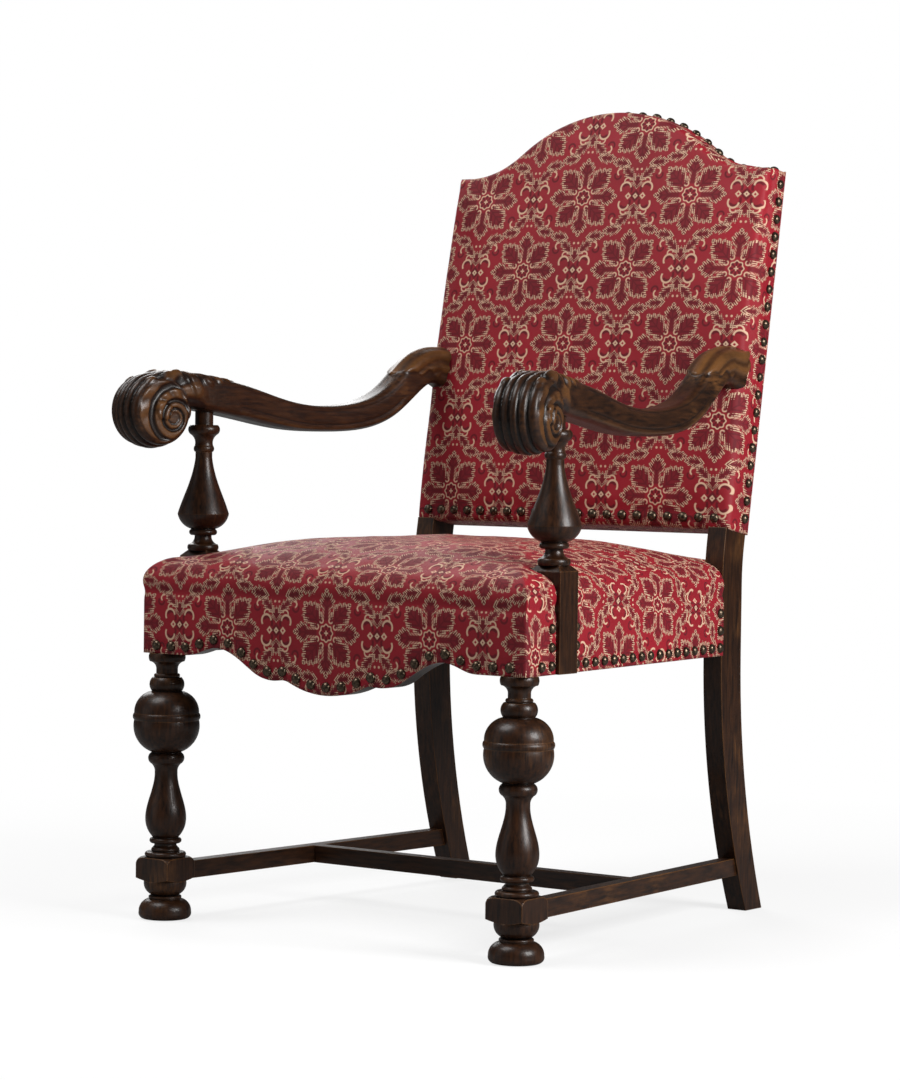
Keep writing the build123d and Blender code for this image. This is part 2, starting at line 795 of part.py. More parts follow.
def seat_straps():
    """Webbing over the rails: straps front to back, and straps across on top of them."""
    lengthwise = []
    front = -leg_half + strap_margin
    rear = rear_rail_back - strap_margin
    for i in range(seat_straps_along):
        x = (i - (seat_straps_along - 1) / 2) * strap_pitch
        middle = Pos(x, (front + rear) / 2, seat_rail_top + strap_thickness / 2)
        lengthwise.append(middle * Box(strap_width, rear - front, strap_thickness))
    crosswise = []
    middle_y = (support_y + support_block_depth / 2 + rear_rail_front) / 2
    for i in range(seat_straps_across):
        y = middle_y + (i - (seat_straps_across - 1) / 2) * strap_pitch
        half = side_x(y + strap_width / 2, strap_margin)
        middle = Pos(0, y, seat_rail_top + strap_thickness * 1.5)
        crosswise.append(middle * Box(2 * half, strap_width, strap_thickness))
    return lengthwise, crosswise


def seat_hessian(cutouts):
    low = seat_rail_top + 2 * strap_thickness
    sheet = extrude(Pos(0, 0, low) * seat_plan(-strap_margin), hessian_thickness)
    return sheet - cutouts


def seat_stuffing(cutouts):
    low = seat_rail_top + 2 * strap_thickness + hessian_thickness + soft_clearance
    floor = Pos(0, 0, low - seat_rail_top / 2) * Box(4 * leg_x, 4 * post_rear_y, seat_rail_top)
    return seat_form(-soft_clearance) - floor - cutouts


def seat_cover(cutouts):
    """The cloth over the seat, following the scalloped edge in front."""
    wide = 2 * leg_x
    high = seat_crown_z + 2 * cover
    front = apron(wide, high, -wide, front_rail_back)
    rest = Pos(0, front_rail_back + wide, (seat_rail_bottom + high) / 2) * Box(
        2 * wide, 2 * wide, high - seat_rail_bottom
    )
    shell = seat_form(cover) - seat_form()
    return (shell & (front + rest)) - cutouts


# Back upholstery
def back_straps(arms):
    near = back_rail_thickness
    upright = []
    low = strap_margin
    high = back_shoulder - strap_margin
    for i in range(back_straps_up):
        x = (i - (back_straps_up - 1) / 2) * strap_pitch
        strap = Box(strap_width, high - low, strap_thickness)
        upright.append(back_plane.location * Pos(x, (low + high) / 2, near + strap_thickness / 2) * strap)
    crosswise = []
    middle = (back_lower_rail_height + crest_low()) / 2
    half = post_inner_x - soft_clearance
    for i in range(back_straps_across):
        up = middle + (i - (back_straps_across - 1) / 2) * (strap_pitch * 0.85)
        strap = Pos(0, up, near + strap_thickness * 1.5) * Box(2 * half, strap_width, strap_thickness)
        crosswise.append(back_plane.location * strap - arms)
    return upright, crosswise


def back_hessian(arms):
    near = back_rail_thickness + 2 * strap_thickness
    half = post_inner_x - soft_clearance
    sheet = back_bar(half, strap_margin, back_shoulder - strap_margin, near, near + hessian_thickness)
    return sheet - arms


def back_stuffing(arms):
    top = back_shoulder + crest_rise
    behind = back_bar(2 * post_outer_x, -cover, top, -cover, back_post_depth + soft_clearance)
    return back_form(-soft_clearance) - behind - arms


def back_cover(posts, arms):
    return back_form(cover) - back_form() - posts - arms


def outside_back():
    sheet = extrude(back_outline(cover), -rear_cover)
    return back_plane.location * sheet


# Nails and screws
def nail():
    """A domed nail, its head's rim on the plane z = 0."""
    turning = Turning(nail_shank_radius)
    turning.to(nail_shank_radius, nail_length - nail_seat)
    turning.to(nail_head_radius, 0)
    dome = nail_head_radius * 0.72
    turning.to(dome, nail_head_height * 0.72, nail_head_height * 0.14)
    turning.to(nail_shank_radius / 4, nail_head_height * 0.28, nail_head_height * 0.08)
    return Pos(0, 0, nail_seat - nail_length - nail_seat) * turning.solid()


def screw(length):
    """A wood screw pointing along -Z, the top of its head on the plane z = 0."""
    head = Pos(0, 0, -screw_head_height / 2) * Cylinder(screw_head_radius, screw_head_height)
    return head + Pos(0, 0, -length / 2) * Cylinder(screw_shank_radius, length)


def nails_on(points):
    """Nails at given places, each with the direction that its head faces."""
    one = nail()
    return [Plane(origin=place, z_dir=facing).location * one for place, facing in points]


def spaced(length, pitch=nail_pitch):
    """Even steps along a length, half a step in from each end."""
    count = max(round(length / pitch), 1)
    return [(i + 0.5) * length / count for i in range(count)]


def seat_front_nails():
    half = leg_x + leg_half - nail_head_radius
    curve = Wire(scallop(half).edges())
    y = -leg_half - cover
    points = []
    for step in spaced(curve.length):
        at = curve.position_at(step / curve.length)
        points.append((Vector(at.X, y, at.Y + nail_inset), Vector(0, -1, 0)))
    return points


def seat_side_nails():
    """Along the rail's lower edge, and up beside the arm support and the post."""
    facing = Vector(cos(side_angle), sin(side_angle), 0)
    front = support_y - support_block_depth / 2 - nail_inset
    rear = support_y + support_block_depth / 2 + nail_inset
    last = post_front_y - nail_inset
    count = round((last - rear) / nail_pitch)
    depths = [rear + i * (last - rear) / count for i in range(count + 1)]
    level = seat_rail_bottom + nail_inset
    places = [(y, level) for y in depths]
    places += [(front - i * nail_pitch, level) for i in range(2)]
    for y in (front, rear, last):
        places += [(y, level + i * nail_pitch * 0.93) for i in (1, 2)]
    return [(Vector(side_x(y, -cover), y, z), facing) for y, z in places]


def in_back(x, up, forward):
    return back_plane.from_local_coords((x, up, forward))


def back_facing(x, up, forward):
    return in_back(x, up, forward) - in_back(0, 0, 0)


def back_bottom_nails():
    """Along the lower front edge of the back, standing on its crown."""
    half = post_outer_x - nail_head_radius
    centre = Vector(0, back_crown_up, back_crown_depth - back_crown_radius)
    points = []
    for step in spaced(2 * half):
        out = Vector(step - half, nail_inset - back_crown_up, back_crown_radius).normalized()
        place = centre + out * (back_crown_radius + cover)
        points.append((in_back(place.X, place.Y, place.Z), back_facing(out.X, out.Y, out.Z)))
    return points


def back_side_nails():
    points = []
    for step in spaced(back_shoulder - nail_inset):
        place = in_back(post_outer_x + cover, step + nail_inset / 2, nail_inset)
        points.append((place, Vector(1, 0, 0)))
    return points


def back_top_nails():
    curve = Wire(crest_curve(cover).edges())
    points = []
    for step in spaced(curve.length):
        share = step / curve.length
        at = curve.position_at(share)
        run = curve.tangent_at(share)
        outward = back_facing(-run.Y, run.X, 0) * (1 if run.X > 0 else -1)
        points.append((in_back(at.X, at.Y, nail_inset), outward))
    return points


def screws_on(points, length):
    one = screw(length)
    return [Plane(origin=place, z_dir=facing).location * one for place, facing in points]


# Corner blocks
def corner_blocks():
    """Front and rear blocks on the +X side, fitted round the leg and the post."""
    low = seat_rail_middle - corner_block_height / 2
    high = low + corner_block_height
    leg_inner = leg_x - leg_half
    front_end = leg_half + corner_block_side * 0.6
    front = [
        (leg_inner - corner_block_side, front_rail_back),
        (leg_inner, front_rail_back),
        (leg_inner, leg_half),
        (side_x(leg_half, rail_thickness), leg_half),
        (side_x(front_end, rail_thickness), front_end),
    ]
    rear_end = post_front_y - corner_block_side
    rear = [
        (side_x(rear_end, rail_thickness), rear_end),
        (side_x(post_front_y, rail_thickness), post_front_y),
        (post_inner_x, post_front_y),
        (post_inner_x, rear_rail_front),
        (post_inner_x - corner_block_side, rear_rail_front),
    ]
    return [prism(front, low, high), prism(rear, low, high)]


def corner_screws():
    """One screw through each block into the front or rear rail."""
    out = corner_screw_length - rail_thickness * 0.6
    front = Vector(leg_x - leg_half - corner_block_side * 0.3, front_rail_back + out, seat_rail_middle)
    rear = Vector(post_inner_x - corner_block_side * 0.3, rear_rail_front - out, seat_rail_middle)
    return [(front, Vector(0, 1, 0)), (rear, Vector(0, -1, 0))]


def support_screws():
    """Two screws through the side rail into each arm support, from inside the seat."""
    facing = Vector(-cos(side_angle), -sin(side_angle), 0)
    points = []
    for i in (-0.5, 0.5):
        x = side_x(support_y, rail_thickness)
        points.append((Vector(x, support_y, seat_rail_middle + i * support_screw_pitch), facing))
    return points


def arm_screws():
    """A screw from behind each post into the end of the arm."""
    middle = (arm_rear_rise + arm_shoulder_rise) / 2 + arm_underside
    up = (middle - back_point(0, back_post_depth)[1]) / cos(rake)
    return [(in_back(post_outer_x - post_width / 2, up, 0), back_facing(0, 0, -1))]


# Putting the chair together
nodes = {}


def both_sides(name, shape):
    nodes[name + "_left"] = [shape]
    nodes[name + "_right"] = [mirrored(shape)]


def in_pairs(solids):
    return solids + [mirrored(solid) for solid in solids]


blank = post_blank()
grown_tenons = [
    front_tenon(joint_clearance),
    rear_tenon(joint_clearance),
    side_tenon(joint_clearance),
    stretcher_tenon(joint_clearance),
    back_tenon(0, back_lower_rail_height, joint_clearance),
    back_tenon(crest_low(), back_shoulder, joint_clearance),
    arm_peg(joint_clearance),
]
leg = leg_head() + leg_turning() + leg_block()
leg = Pos(leg_x, 0, 0) * leg
post = blank
for tenon in grown_tenons:
    post -= tenon
for tenon in grown_tenons[:4]:
    leg -= tenon
both_sides("front_leg", leg)
both_sides("rear_post", post)
both_sides("side_rail", side_rail())
nodes["front_rail"] = [front_rail()]
nodes["rear_rail"] = [rear_rail()]
both_sides("side_stretcher", side_stretcher(blank, cross_tenon(joint_clearance)))
nodes["cross_stretcher"] = [cross_stretcher()]
both_sides("arm_support", arm_support())
both_sides("arm", arm())
nodes["lower_back_rail"] = [lower_back_rail()]
nodes["crest_rail"] = [crest_rail()]
nodes["corner_blocks"] = in_pairs(corner_blocks())

cutouts = seat_cutouts()
nodes["seat_webbing_lengthwise"], nodes["seat_webbing_crosswise"] = seat_straps()
nodes["seat_hessian"] = [seat_hessian(cutouts)]
nodes["seat_stuffing"] = [seat_stuffing(cutouts)]
nodes["seat_cover"] = [seat_cover(cutouts)]

posts = blank + mirrored(blank)
arm_room = arm_body(soft_clearance)
arm_room = arm_room + mirrored(arm_room)
nodes["back_webbing_upright"], nodes["back_webbing_crosswise"] = back_straps(arm_room)
nodes["back_hessian"] = [back_hessian(arm_room)]
nodes["back_stuffing"] = [back_stuffing(arm_room)]
nodes["back_cover"] = [back_cover(posts, arm_room)]
nodes["outside_back_cover"] = [outside_back()]

nodes["seat_front_nails"] = nails_on(seat_front_nails())
both_sides("seat_side_nails", Compound(nails_on(seat_side_nails())))
nodes["back_bottom_nails"] = nails_on(back_bottom_nails())
both_sides("back_side_nails", Compound(nails_on(back_side_nails())))
nodes["back_top_nails"] = nails_on(back_top_nails())
nodes["corner_block_screws"] = in_pairs(screws_on(corner_screws(), corner_screw_length))
nodes["arm_support_screws"] = in_pairs(screws_on(support_screws(), support_screw_length))
nodes["arm_screws"] = in_pairs(screws_on(arm_screws(), arm_screw_length))

# The origin is on the floor under the middle of the chair
solids = {name: [s for shape in shapes for s in shape.solids()] for name, shapes in nodes.items()}
whole = Compound([solid for group in solids.values() for solid in group]).bounding_box()
centred = Pos(0, -(whole.min.Y + whole.max.Y) / 2, 0)

os.makedirs("parts", exist_ok=True)
for name, group in solids.items():
    placed = [centred * solid for solid in group]
    export_step(placed[0] if len(placed) == 1 else Compound(placed), "parts/" + name + ".step")
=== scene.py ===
import math

import bmesh
import bpy
import numpy as np
from bpy.props import FloatProperty, FloatVectorProperty, IntProperty, PointerProperty
from mathutils import Matrix, Vector, noise


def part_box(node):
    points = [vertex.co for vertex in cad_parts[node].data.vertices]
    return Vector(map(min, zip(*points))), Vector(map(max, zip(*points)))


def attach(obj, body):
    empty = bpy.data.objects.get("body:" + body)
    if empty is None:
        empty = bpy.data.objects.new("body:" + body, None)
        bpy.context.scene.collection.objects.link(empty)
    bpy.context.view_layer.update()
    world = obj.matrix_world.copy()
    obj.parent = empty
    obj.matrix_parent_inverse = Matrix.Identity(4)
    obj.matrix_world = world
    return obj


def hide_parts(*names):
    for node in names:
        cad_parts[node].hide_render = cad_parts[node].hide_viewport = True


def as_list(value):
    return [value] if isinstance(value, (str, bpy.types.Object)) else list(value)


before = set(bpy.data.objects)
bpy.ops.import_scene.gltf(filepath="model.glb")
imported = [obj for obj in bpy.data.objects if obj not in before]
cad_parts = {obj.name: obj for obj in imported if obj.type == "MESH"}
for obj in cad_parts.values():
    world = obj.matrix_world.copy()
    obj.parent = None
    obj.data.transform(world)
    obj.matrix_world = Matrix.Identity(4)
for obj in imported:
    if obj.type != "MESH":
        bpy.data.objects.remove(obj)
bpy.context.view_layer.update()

bl_info = {
    "name": "Carved damask armchair",
    "version": (1, 0, 0),
    "blender": (4, 5, 0),
    "location": "View3D > Sidebar > Armchair",
    "description": "Dresses the armchair's frame with carving, upholstery, nails and finishes",
    "category": "Add Mesh",
}

# Places read from the frame, in metres
LEG_LOW, LEG_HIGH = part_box("front_leg_left")
LEG_X = (LEG_LOW.x + LEG_HIGH.x) / 2
LEG_Y = (LEG_LOW.y + LEG_HIGH.y) / 2
RAIL_LOW, RAIL_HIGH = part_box("side_rail_left")
POST_LOW, POST_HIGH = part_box("rear_post_left")
SIDES = (("left", 1), ("right", -1))
BOTH = tuple(name for name, sign in SIDES)


# Settings
def length(name, description, default):
    return FloatProperty(name=name, description=description, default=default, unit="LENGTH", precision=4)


def angle(name, description, degrees):
    return FloatProperty(name=name, description=description, default=math.radians(degrees), subtype="ANGLE")


def ratio(name, description, default):
    return FloatProperty(name=name, description=description, default=default)


def colour(name, description, default):
    return FloatVectorProperty(name=name, description=description, default=default, size=4, subtype="COLOR")


class SeatSettings(bpy.types.PropertyGroup):
    edge_radius: length("Edge radius", "Roundness of the seat's upper edge", 0.028)
    crown: length("Crown", "Height of the seat's middle above the floor", 0.492)
    crown_rise: length("Crown rise", "How far the middle stands above the upper edge", 0.026)
    crown_reach: length("Crown reach", "Distance over which the crown rises", 0.150)
    swell: length("Swell", "How far the sides bulge above the rails", 0.004)
    pitch: length("Mesh pitch", "Spacing of the cloth's points", 0.0075)
    pressure: ratio("Pressure", "Push of the stuffing under the cloth", 3.0)
    give: length("Give", "Furthest that the push moves the cloth", 0.004)


class BackSettings(bpy.types.PropertyGroup):
    bottom: length("Bottom", "Height of the back's lower edge", 0.5055)
    rear: length("Rear", "From the front legs' axis to the posts' rear face at the lower edge", 0.547)
    rake: angle("Rake", "Lean of the back", 9.8)
    shoulder: length("Shoulder", "From the lower edge up to the level shoulders", 0.4875)
    crest_rise: length("Crest rise", "From the shoulders up to the top of the dome", 0.086)
    crest_half: length("Crest half width", "From the middle to where a shoulder becomes level", 0.235)
    dome_radius: length("Dome radius", "Radius of the dome between the hollows", 0.232)
    crown_depth: length("Crown depth", "From the posts' rear face to the middle of the padding", 0.0675)
    crown_radius: length("Crown radius", "Radius of the padded front", 3.0)
    crown_up: length("Crown height", "From the lower edge up to the middle of the crown", 0.2205)
    edge_radius: length("Edge radius", "Roundness of the front edge", 0.009)
    pressure: ratio("Pressure", "Push of the stuffing under the cloth", 2.0)
    give: length("Give", "Furthest that the push moves the cloth", 0.003)


class ClothSettings(bpy.types.PropertyGroup):
    repeat_width: length("Repeat width", "Width of the damask's repeat", 0.171)
    repeat_height: length("Repeat height", "Height of the damask's repeat", 0.206)
    ground: colour("Ground", "Satin ground of the damask", (0.215, 0.0062, 0.0135, 1))
    dark: colour("Dark thread", "Leaf fill of the damask", (0.098, 0.0038, 0.0090, 1))
    pale: colour("Pale thread", "Leaf edges of the damask", (0.70, 0.49, 0.33, 1))
    thread: length("Thread", "Spacing of the weave's threads", 0.0007)


class WoodSettings(bpy.types.PropertyGroup):
    deep: colour("Deep", "Darkest stain of the wood", (0.0070, 0.0025, 0.0012, 1))
    mid: colour("Mid", "Common colour of the wood", (0.040, 0.0142, 0.0048, 1))
    worn: colour("Worn", "Worn edges of the wood", (0.27, 0.112, 0.030, 1))


class NailSettings(bpy.types.PropertyGroup):
    head_radius: length("Head radius", "Radius of a nail's domed head", 0.0066)
    head_height: length("Head height", "Height of a nail's domed head", 0.0050)
    seed: IntProperty(name="Seed", description="Seed of the heads' small differences", default=7)


class ArmSettings(bpy.types.PropertyGroup):
    voxel: length("Voxel", "Finest detail of the carved wood", 0.0016)
    relief: length("Relief", "How far the leaves stand out", 0.0026)
    roll_x: length("Roll across", "From the middle of the chair to the middle of the roll", 0.2991)
    roll_y: length("Roll ahead", "From the front legs' axis to the middle of the roll", -0.0155)
    roll_z: length("Roll height", "From the floor to the middle of the roll", 0.658)
    roll_width: length("Roll width", "Width of the reeded roll", 0.057)
    reeds: IntProperty(name="Reeds", description="Reeds round the roll", default=5)
    flare: angle("Flare", "Turn of the roll", 12.5)
    volute_growth: ratio("Volute growth", "Growth of the volute in one turn", 1.9)
    volute_radius: length("Volute radius", "Outer radius of the volute", 0.0395)
    eye_radius: length("Eye radius", "Radius of the volute's eye", 0.0072)
    eye_back: length("Eye back", "From the middle of the roll back to the volute's eye", 0.017)
    eye_drop: length("Eye drop", "From the middle of the roll down to the volute's eye", 0.009)
    leaf_end: length("Leaf end", "From the front legs' axis to the tip of the front leaf", 0.125)
    rear_leaf: length("Rear leaf", "From the front legs' axis to the tip of the rear leaf", 0.426)


class ArmchairSettings(bpy.types.PropertyGroup):
    seat: PointerProperty(type=SeatSettings)
    back: PointerProperty(type=BackSettings)
    cloth: PointerProperty(type=ClothSettings)
    wood: PointerProperty(type=WoodSettings)
    nail: PointerProperty(type=NailSettings)
    arm: PointerProperty(type=ArmSettings)


# Formulas as shader nodes
MILLIMETRES = (1000, 1000, 1000)


class Term:
    """A number that flows through shader nodes, so that patterns can be written as formulas."""

    def __init__(self, tree, socket):
        self.tree = tree
        self.socket = socket

    def math(self, operation, *others, clamp=False):
        node = self.tree.nodes.new("ShaderNodeMath")
        node.operation = operation
        node.use_clamp = clamp
        for socket, value in zip(node.inputs, (self, *others)):
            if isinstance(value, Term):
                self.tree.links.new(value.socket, socket)
            else:
                socket.default_value = value
        return Term(self.tree, node.outputs[0])

    def __add__(self, other):
        return self.math("ADD", other)

    def __radd__(self, other):
        return self.math("ADD", other)

    def __sub__(self, other):
        return self.math("SUBTRACT", other)

    def __rsub__(self, other):
        return self.math("MULTIPLY", -1.0).math("ADD", other)

    def __mul__(self, other):
        return self.math("MULTIPLY", other)

    def __truediv__(self, other):
        return self.math("DIVIDE", other)

    def __abs__(self):
        return self.math("ABSOLUTE")

    def low(self, other):
        return self.math("MINIMUM", other)

    def high(self, other):
        return self.math("MAXIMUM", other)

    def sine(self, period):
        return self.math("MULTIPLY", 2 * math.pi / period).math("SINE")

    def limited(self):
        return self.math("ADD", 0.0, clamp=True)

    def over(self, limit, soft):
        """1 above a limit and 0 below it, with a soft step."""
        return ((self - limit) / soft).math("ADD", 0.5, clamp=True)

    def under(self, limit, soft):
        """1 below a limit and 0 above it, with a soft step."""
        return ((limit - self) / soft).math("ADD", 0.5, clamp=True)

    def mixed(self, other, factor):
        return self + (other - self) * factor


def reach(x, y):
    """Distance from the origin."""
    return (x * x + y * y).math("SQRT")


class Finish:
    """A material with a principled shader, and short ways to add nodes to it."""

    def __init__(self, name):
        self.material = bpy.data.materials.new(name)
        self.material.use_nodes = True
        self.tree = self.material.node_tree
        self.shader = self.tree.nodes["Principled BSDF"]
        self.coordinates = self.tree.nodes.new("ShaderNodeTexCoord")

    def node(self, kind, **values):
        made = self.tree.nodes.new(kind)
        for name, value in values.items():
            setattr(made, name, value)
        return made

    def link(self, source, target):
        self.tree.links.new(source.socket if isinstance(source, Term) else source, target)

    def constant(self, **values):
        """Sets the shader's inputs that are the same all over."""
        for name, value in values.items():
            self.shader.inputs[name.replace("_", " ")].default_value = value

    def drive(self, **sources):
        """Links nodes to the shader's inputs."""
        for name, source in sources.items():
            self.link(source, self.shader.inputs[name.replace("_", " ")])

    def place(self, scale=(1, 1, 1), source="Object"):
        mapping = self.node("ShaderNodeMapping")
        mapping.inputs["Scale"].default_value = scale
        self.link(self.coordinates.outputs[source], mapping.inputs["Vector"])
        return mapping.outputs["Vector"]

    def parts(self, vector):
        """The three numbers of a vector."""
        split = self.node("ShaderNodeSeparateXYZ")
        self.link(vector, split.inputs[0])
        return [Term(self.tree, socket) for socket in split.outputs]

    def noise(self, vector, scale, detail=3.0, roughness=0.55):
        made = self.node("ShaderNodeTexNoise")
        made.inputs["Scale"].default_value = scale
        made.inputs["Detail"].default_value = detail
        made.inputs["Roughness"].default_value = roughness
        self.link(vector, made.inputs["Vector"])
        return Term(self.tree, made.outputs["Fac"])

    def blend(self, factor, first, second):
        """A colour between two others."""
        mix = self.node("ShaderNodeMix", data_type="RGBA")
        self.link(factor, mix.inputs[0])
        for socket, value in ((mix.inputs[6], first), (mix.inputs[7], second)):
            if isinstance(value, bpy.types.NodeSocket):
                self.link(value, socket)
            else:
                socket.default_value = value
        return mix.outputs[2]

    def bump(self, height, strength, distance, normal=None):
        made = self.node("ShaderNodeBump")
        made.inputs["Strength"].default_value = strength
        made.inputs["Distance"].default_value = distance
        self.link(height, made.inputs["Height"])
        if normal is not None:
            self.link(normal, made.inputs["Normal"])
        return made.outputs["Normal"]


def dark_wood(name, grain, carved=False):
    """Stained and polished wood with its grain along one axis, worn on its edges and its carving, with
    painted shade darkening its hollows and grooves.
    """
    colours = bpy.context.scene.armchair.wood
    finish = Finish(name)
    stretch = [9.0, 9.0, 9.0]
    stretch["XYZ".index(grain)] = 1.0
    along = finish.place(stretch)
    plain = finish.place()
    fibre = finish.noise(along, 26.0, 5.0, 0.62)
    pores = finish.noise(along, 110.0, 3.0, 0.7)
    patch = finish.noise(plain, 9.0, 4.0, 0.6)
    soft = finish.node("ShaderNodeBevel", samples=6)
    soft.inputs["Radius"].default_value = 0.0022
    geometry = finish.node("ShaderNodeNewGeometry")
    facing = finish.node("ShaderNodeVectorMath", operation="DOT_PRODUCT")
    finish.link(soft.outputs["Normal"], facing.inputs[0])
    finish.link(geometry.outputs["Normal"], facing.inputs[1])
    edge = (1.0 - Term(finish.tree, facing.outputs["Value"])).over(0.06, 0.12)
    hollow = finish.node("ShaderNodeAmbientOcclusion", samples=6, only_local=True)
    hollow.inputs["Distance"].default_value = 0.012
    open_air = Term(finish.tree, hollow.outputs["AO"])
    base = finish.blend(fibre.over(0.5, 0.35), colours.deep, colours.mid)
    wear = (edge * 0.55 * patch.over(0.42, 0.3)).high(patch.over(0.66, 0.22) * fibre.over(0.5, 0.3) * 0.4)
    if carved:
        mark = finish.node("ShaderNodeAttribute", attribute_name="relief")
        raised = Term(finish.tree, mark.outputs["Fac"])
        wear = wear.high(raised.over(0.5, 0.7) * patch.over(0.47, 0.3) * 0.42)
        # Painted shade: sunken parts of the carving count as more occluded, so they darken more below
        open_air = open_air * (raised * 2.2 + 1.0).limited()
    worn = finish.blend(wear * open_air, base, colours.worn)
    # Painted shade: the colour darkens to near black where ambient occlusion finds hollows, grooves and
    # joints
    painted_hollow_shade = finish.blend((1.0 - open_air).over(0.42, 0.5) * 0.75, worn, (0.004, 0.0025, 0.002, 1))
    finish.drive(Base_Color=painted_hollow_shade)
    finish.drive(Roughness=0.25 + patch * 0.22 + pores.over(0.62, 0.1) * 0.1)
    relief = fibre * 0.35 + pores.over(0.6, 0.15) * -0.5
    finish.drive(Normal=finish.bump(relief, 0.22, 0.0004, soft.outputs["Normal"]))
    finish.constant(Coat_Weight=0.10, Coat_Roughness=0.14, Specular_IOR_Level=0.26)
    return finish.material


def leaf_threads(along, across, depth, border, lobe):
    """Dark fill and pale, flame-edged border of a leaf, from the depth inside its outline."""
    teeth = (along - across * 0.8).sine(lobe) * 1.3 + (along * 0.6 + across).sine(lobe * 0.37) * 0.9
    depth = depth + teeth
    inside = depth.over(0.5, 0.9)
    strokes = (along - across * 1.2).sine(lobe * 0.45)
    pale = inside * (depth - strokes * 2.4).under(border, 1.6) * (strokes * 0.3 + 0.8).limited()
    vein = across.under(0.9, 1.0).high((along - across).sine(lobe).over(0.4, 0.8))
    return inside * (vein * 0.4 + 0.6), pale


def petal(along, across, tip, half, spread, border):
    """A petal of the rosette with a square tip, along the first number."""
    side = along * spread - across + half
    front = (tip - along - across) * 0.7
    return leaf_threads(along, across, side.low(front), border, 10.0)


def leaf(x, y, start, end, half, border, lobe):
    """A pointed leaf between two points."""
    run = Vector(end) - Vector(start)
    ahead = run.normalized()
    along = x * ahead.x + y * ahead.y - ahead.dot(Vector(start))
    across = abs(x * -ahead.y + y * ahead.x - (ahead.x * start[1] - ahead.y * start[0]))
    part = along / run.length
    depth = part * (1.0 - part) * (4 * half) - across
    return leaf_threads(along, across, depth, border, lobe)


def curl(x, y, middle, radius, thick, side):
    """Part of a ring on one side of its middle."""
    dx = x - middle[0]
    dy = y - middle[1]
    ring = abs(reach(dx, dy) - radius).under(thick, 0.8)
    return ring * (dx * side[0] + dy * side[1]).over(side[2], 1.5)


def highest(masks):
    """The highest of some masks at each point."""
    top = masks[0]
    for mask in masks[1:]:
        top = top.high(mask)
    return top


def folded(across, up, half_wide, half_high):
    """Distances across and up from the nearest point of a half-drop lattice."""
    x = abs(across.math("WRAP", half_wide, -half_wide))
    y = abs(up.math("WRAP", half_high, -half_high))
    beyond = (x / half_wide + y / half_high).math("GREATER_THAN", 1.0)
    return x.mixed(half_wide - x, beyond), y.mixed(half_high - y, beyond)


# The damask's drawing, in millimetres from the middle of a rosette or a bud
def rosette_threads(x, y):
    """Dark and pale masks of a rosette: four pointed petals on necks, four broad ones and a ringed flower."""
    diagonal = 0.5 ** 0.5
    along = x.high(y)
    beside = x.low(y)
    head, head_edge = petal(along, beside, 57.0, 12.5, 0.0, 2.7)
    behind = along.over(beside * 0.5 + 27.0, 2.0)
    out = (x + y) * diagonal
    broad, broad_edge = petal(out, abs(x - y) * diagonal, 57.0, 6.0, 0.28, 3.0)
    base = out.over(15.5, 2.0)
    turn = y.math("ARCTAN2", x)
    far = reach(x, y)
    lobes = (turn * 8.0).math("COSINE")
    ring = far - (lobes * 0.8 + 10.2)
    star = far - ((turn * 4.0).math("COSINE") + 2.4)
    stem = along.over(16.0, 3.0) * along.under(33.0, 3.0)
    neck = beside.under(3.8, 1.5) * stem
    feather = abs(beside - 5.2).under(1.6, 1.2) * stem * ((along - beside * 1.4).sine(4.6) * 0.35 + 0.35)
    eye = reach(out - 16.5, abs(x - y) * diagonal - 5.5)
    dark = [head * behind, broad * base, neck * 0.8, ring.under(0.0, 0.6) * lobes.over(-0.3, 0.8)]
    pale = [head_edge * behind, broad_edge * base, feather, abs(ring).under(0.9, 0.9), star.under(0.0, 0.9)]
    pale.append(abs(eye - 3.0).under(0.9, 0.9) * out.under(17.5, 2.0))
    return dark, pale


def candelabrum_threads(x, y):
    """Dark and pale masks of the bud, garland leaves, curls and small flowers between the rosettes."""
    leaves = []
    for start, end, half, border, lobe in (
        ((0.0, 9.5), (0.0, 31.0), 8.6, 2.0, 6.5),
        ((3.0, 22.0), (28.0, 44.5), 7.6, 2.0, 8.5),
        ((14.0, 45.5), (46.0, 49.5), 8.0, 2.4, 8.5),
    ):
        leaves.append(leaf(x, y, start, end, half, border, lobe))
    dark = [fill for fill, edge in leaves]
    pale = [edge for fill, edge in leaves]
    pale.append(curl(x, y, (17.0, 11.5), 8.0, 1.3, (0.35, 1.0, -2.0)))
    pale.append(curl(x, y, (15.5, 21.0), 5.0, 1.0, (0.6, 1.0, -0.5)))
    pale.append(curl(x, y, (29.5, 34.5), 4.6, 1.1, (1.0, 0.4, 0.5)))
    dark.append(curl(x, y, (33.0, 29.5), 5.0, 1.4, (0.3, -1.0, -2.0)))
    dark.append(curl(x, y, (15.0, 8.5), 8.0, 1.8, (-0.6, 1.0, 0.5)))
    pale.append(reach(x - 3.5, y - 38.0).under(1.6, 1.0))
    flower = x + y
    star = abs(x - 11.5) + y
    pale.append(flower.under(4.2, 1.2) * flower.over(1.3, 0.8))
    pale.append(star.under(5.0, 1.2) * star.over(2.0, 0.8))
    dark.append(flower.under(9.0, 2.0))
    return dark, pale


def damask_threads(across, up, width, height):
    """Dark and pale threads of the damask at a point of the cloth, in millimetres."""
    half_wide = width / 2
    half_high = height / 2
    dark, pale = rosette_threads(*folded(across, up, half_wide, half_high))
    more_dark, more_pale = candelabrum_threads(*folded(across + half_wide, up, half_wide, half_high))
    return highest(dark + more_dark), highest(pale + more_pale)


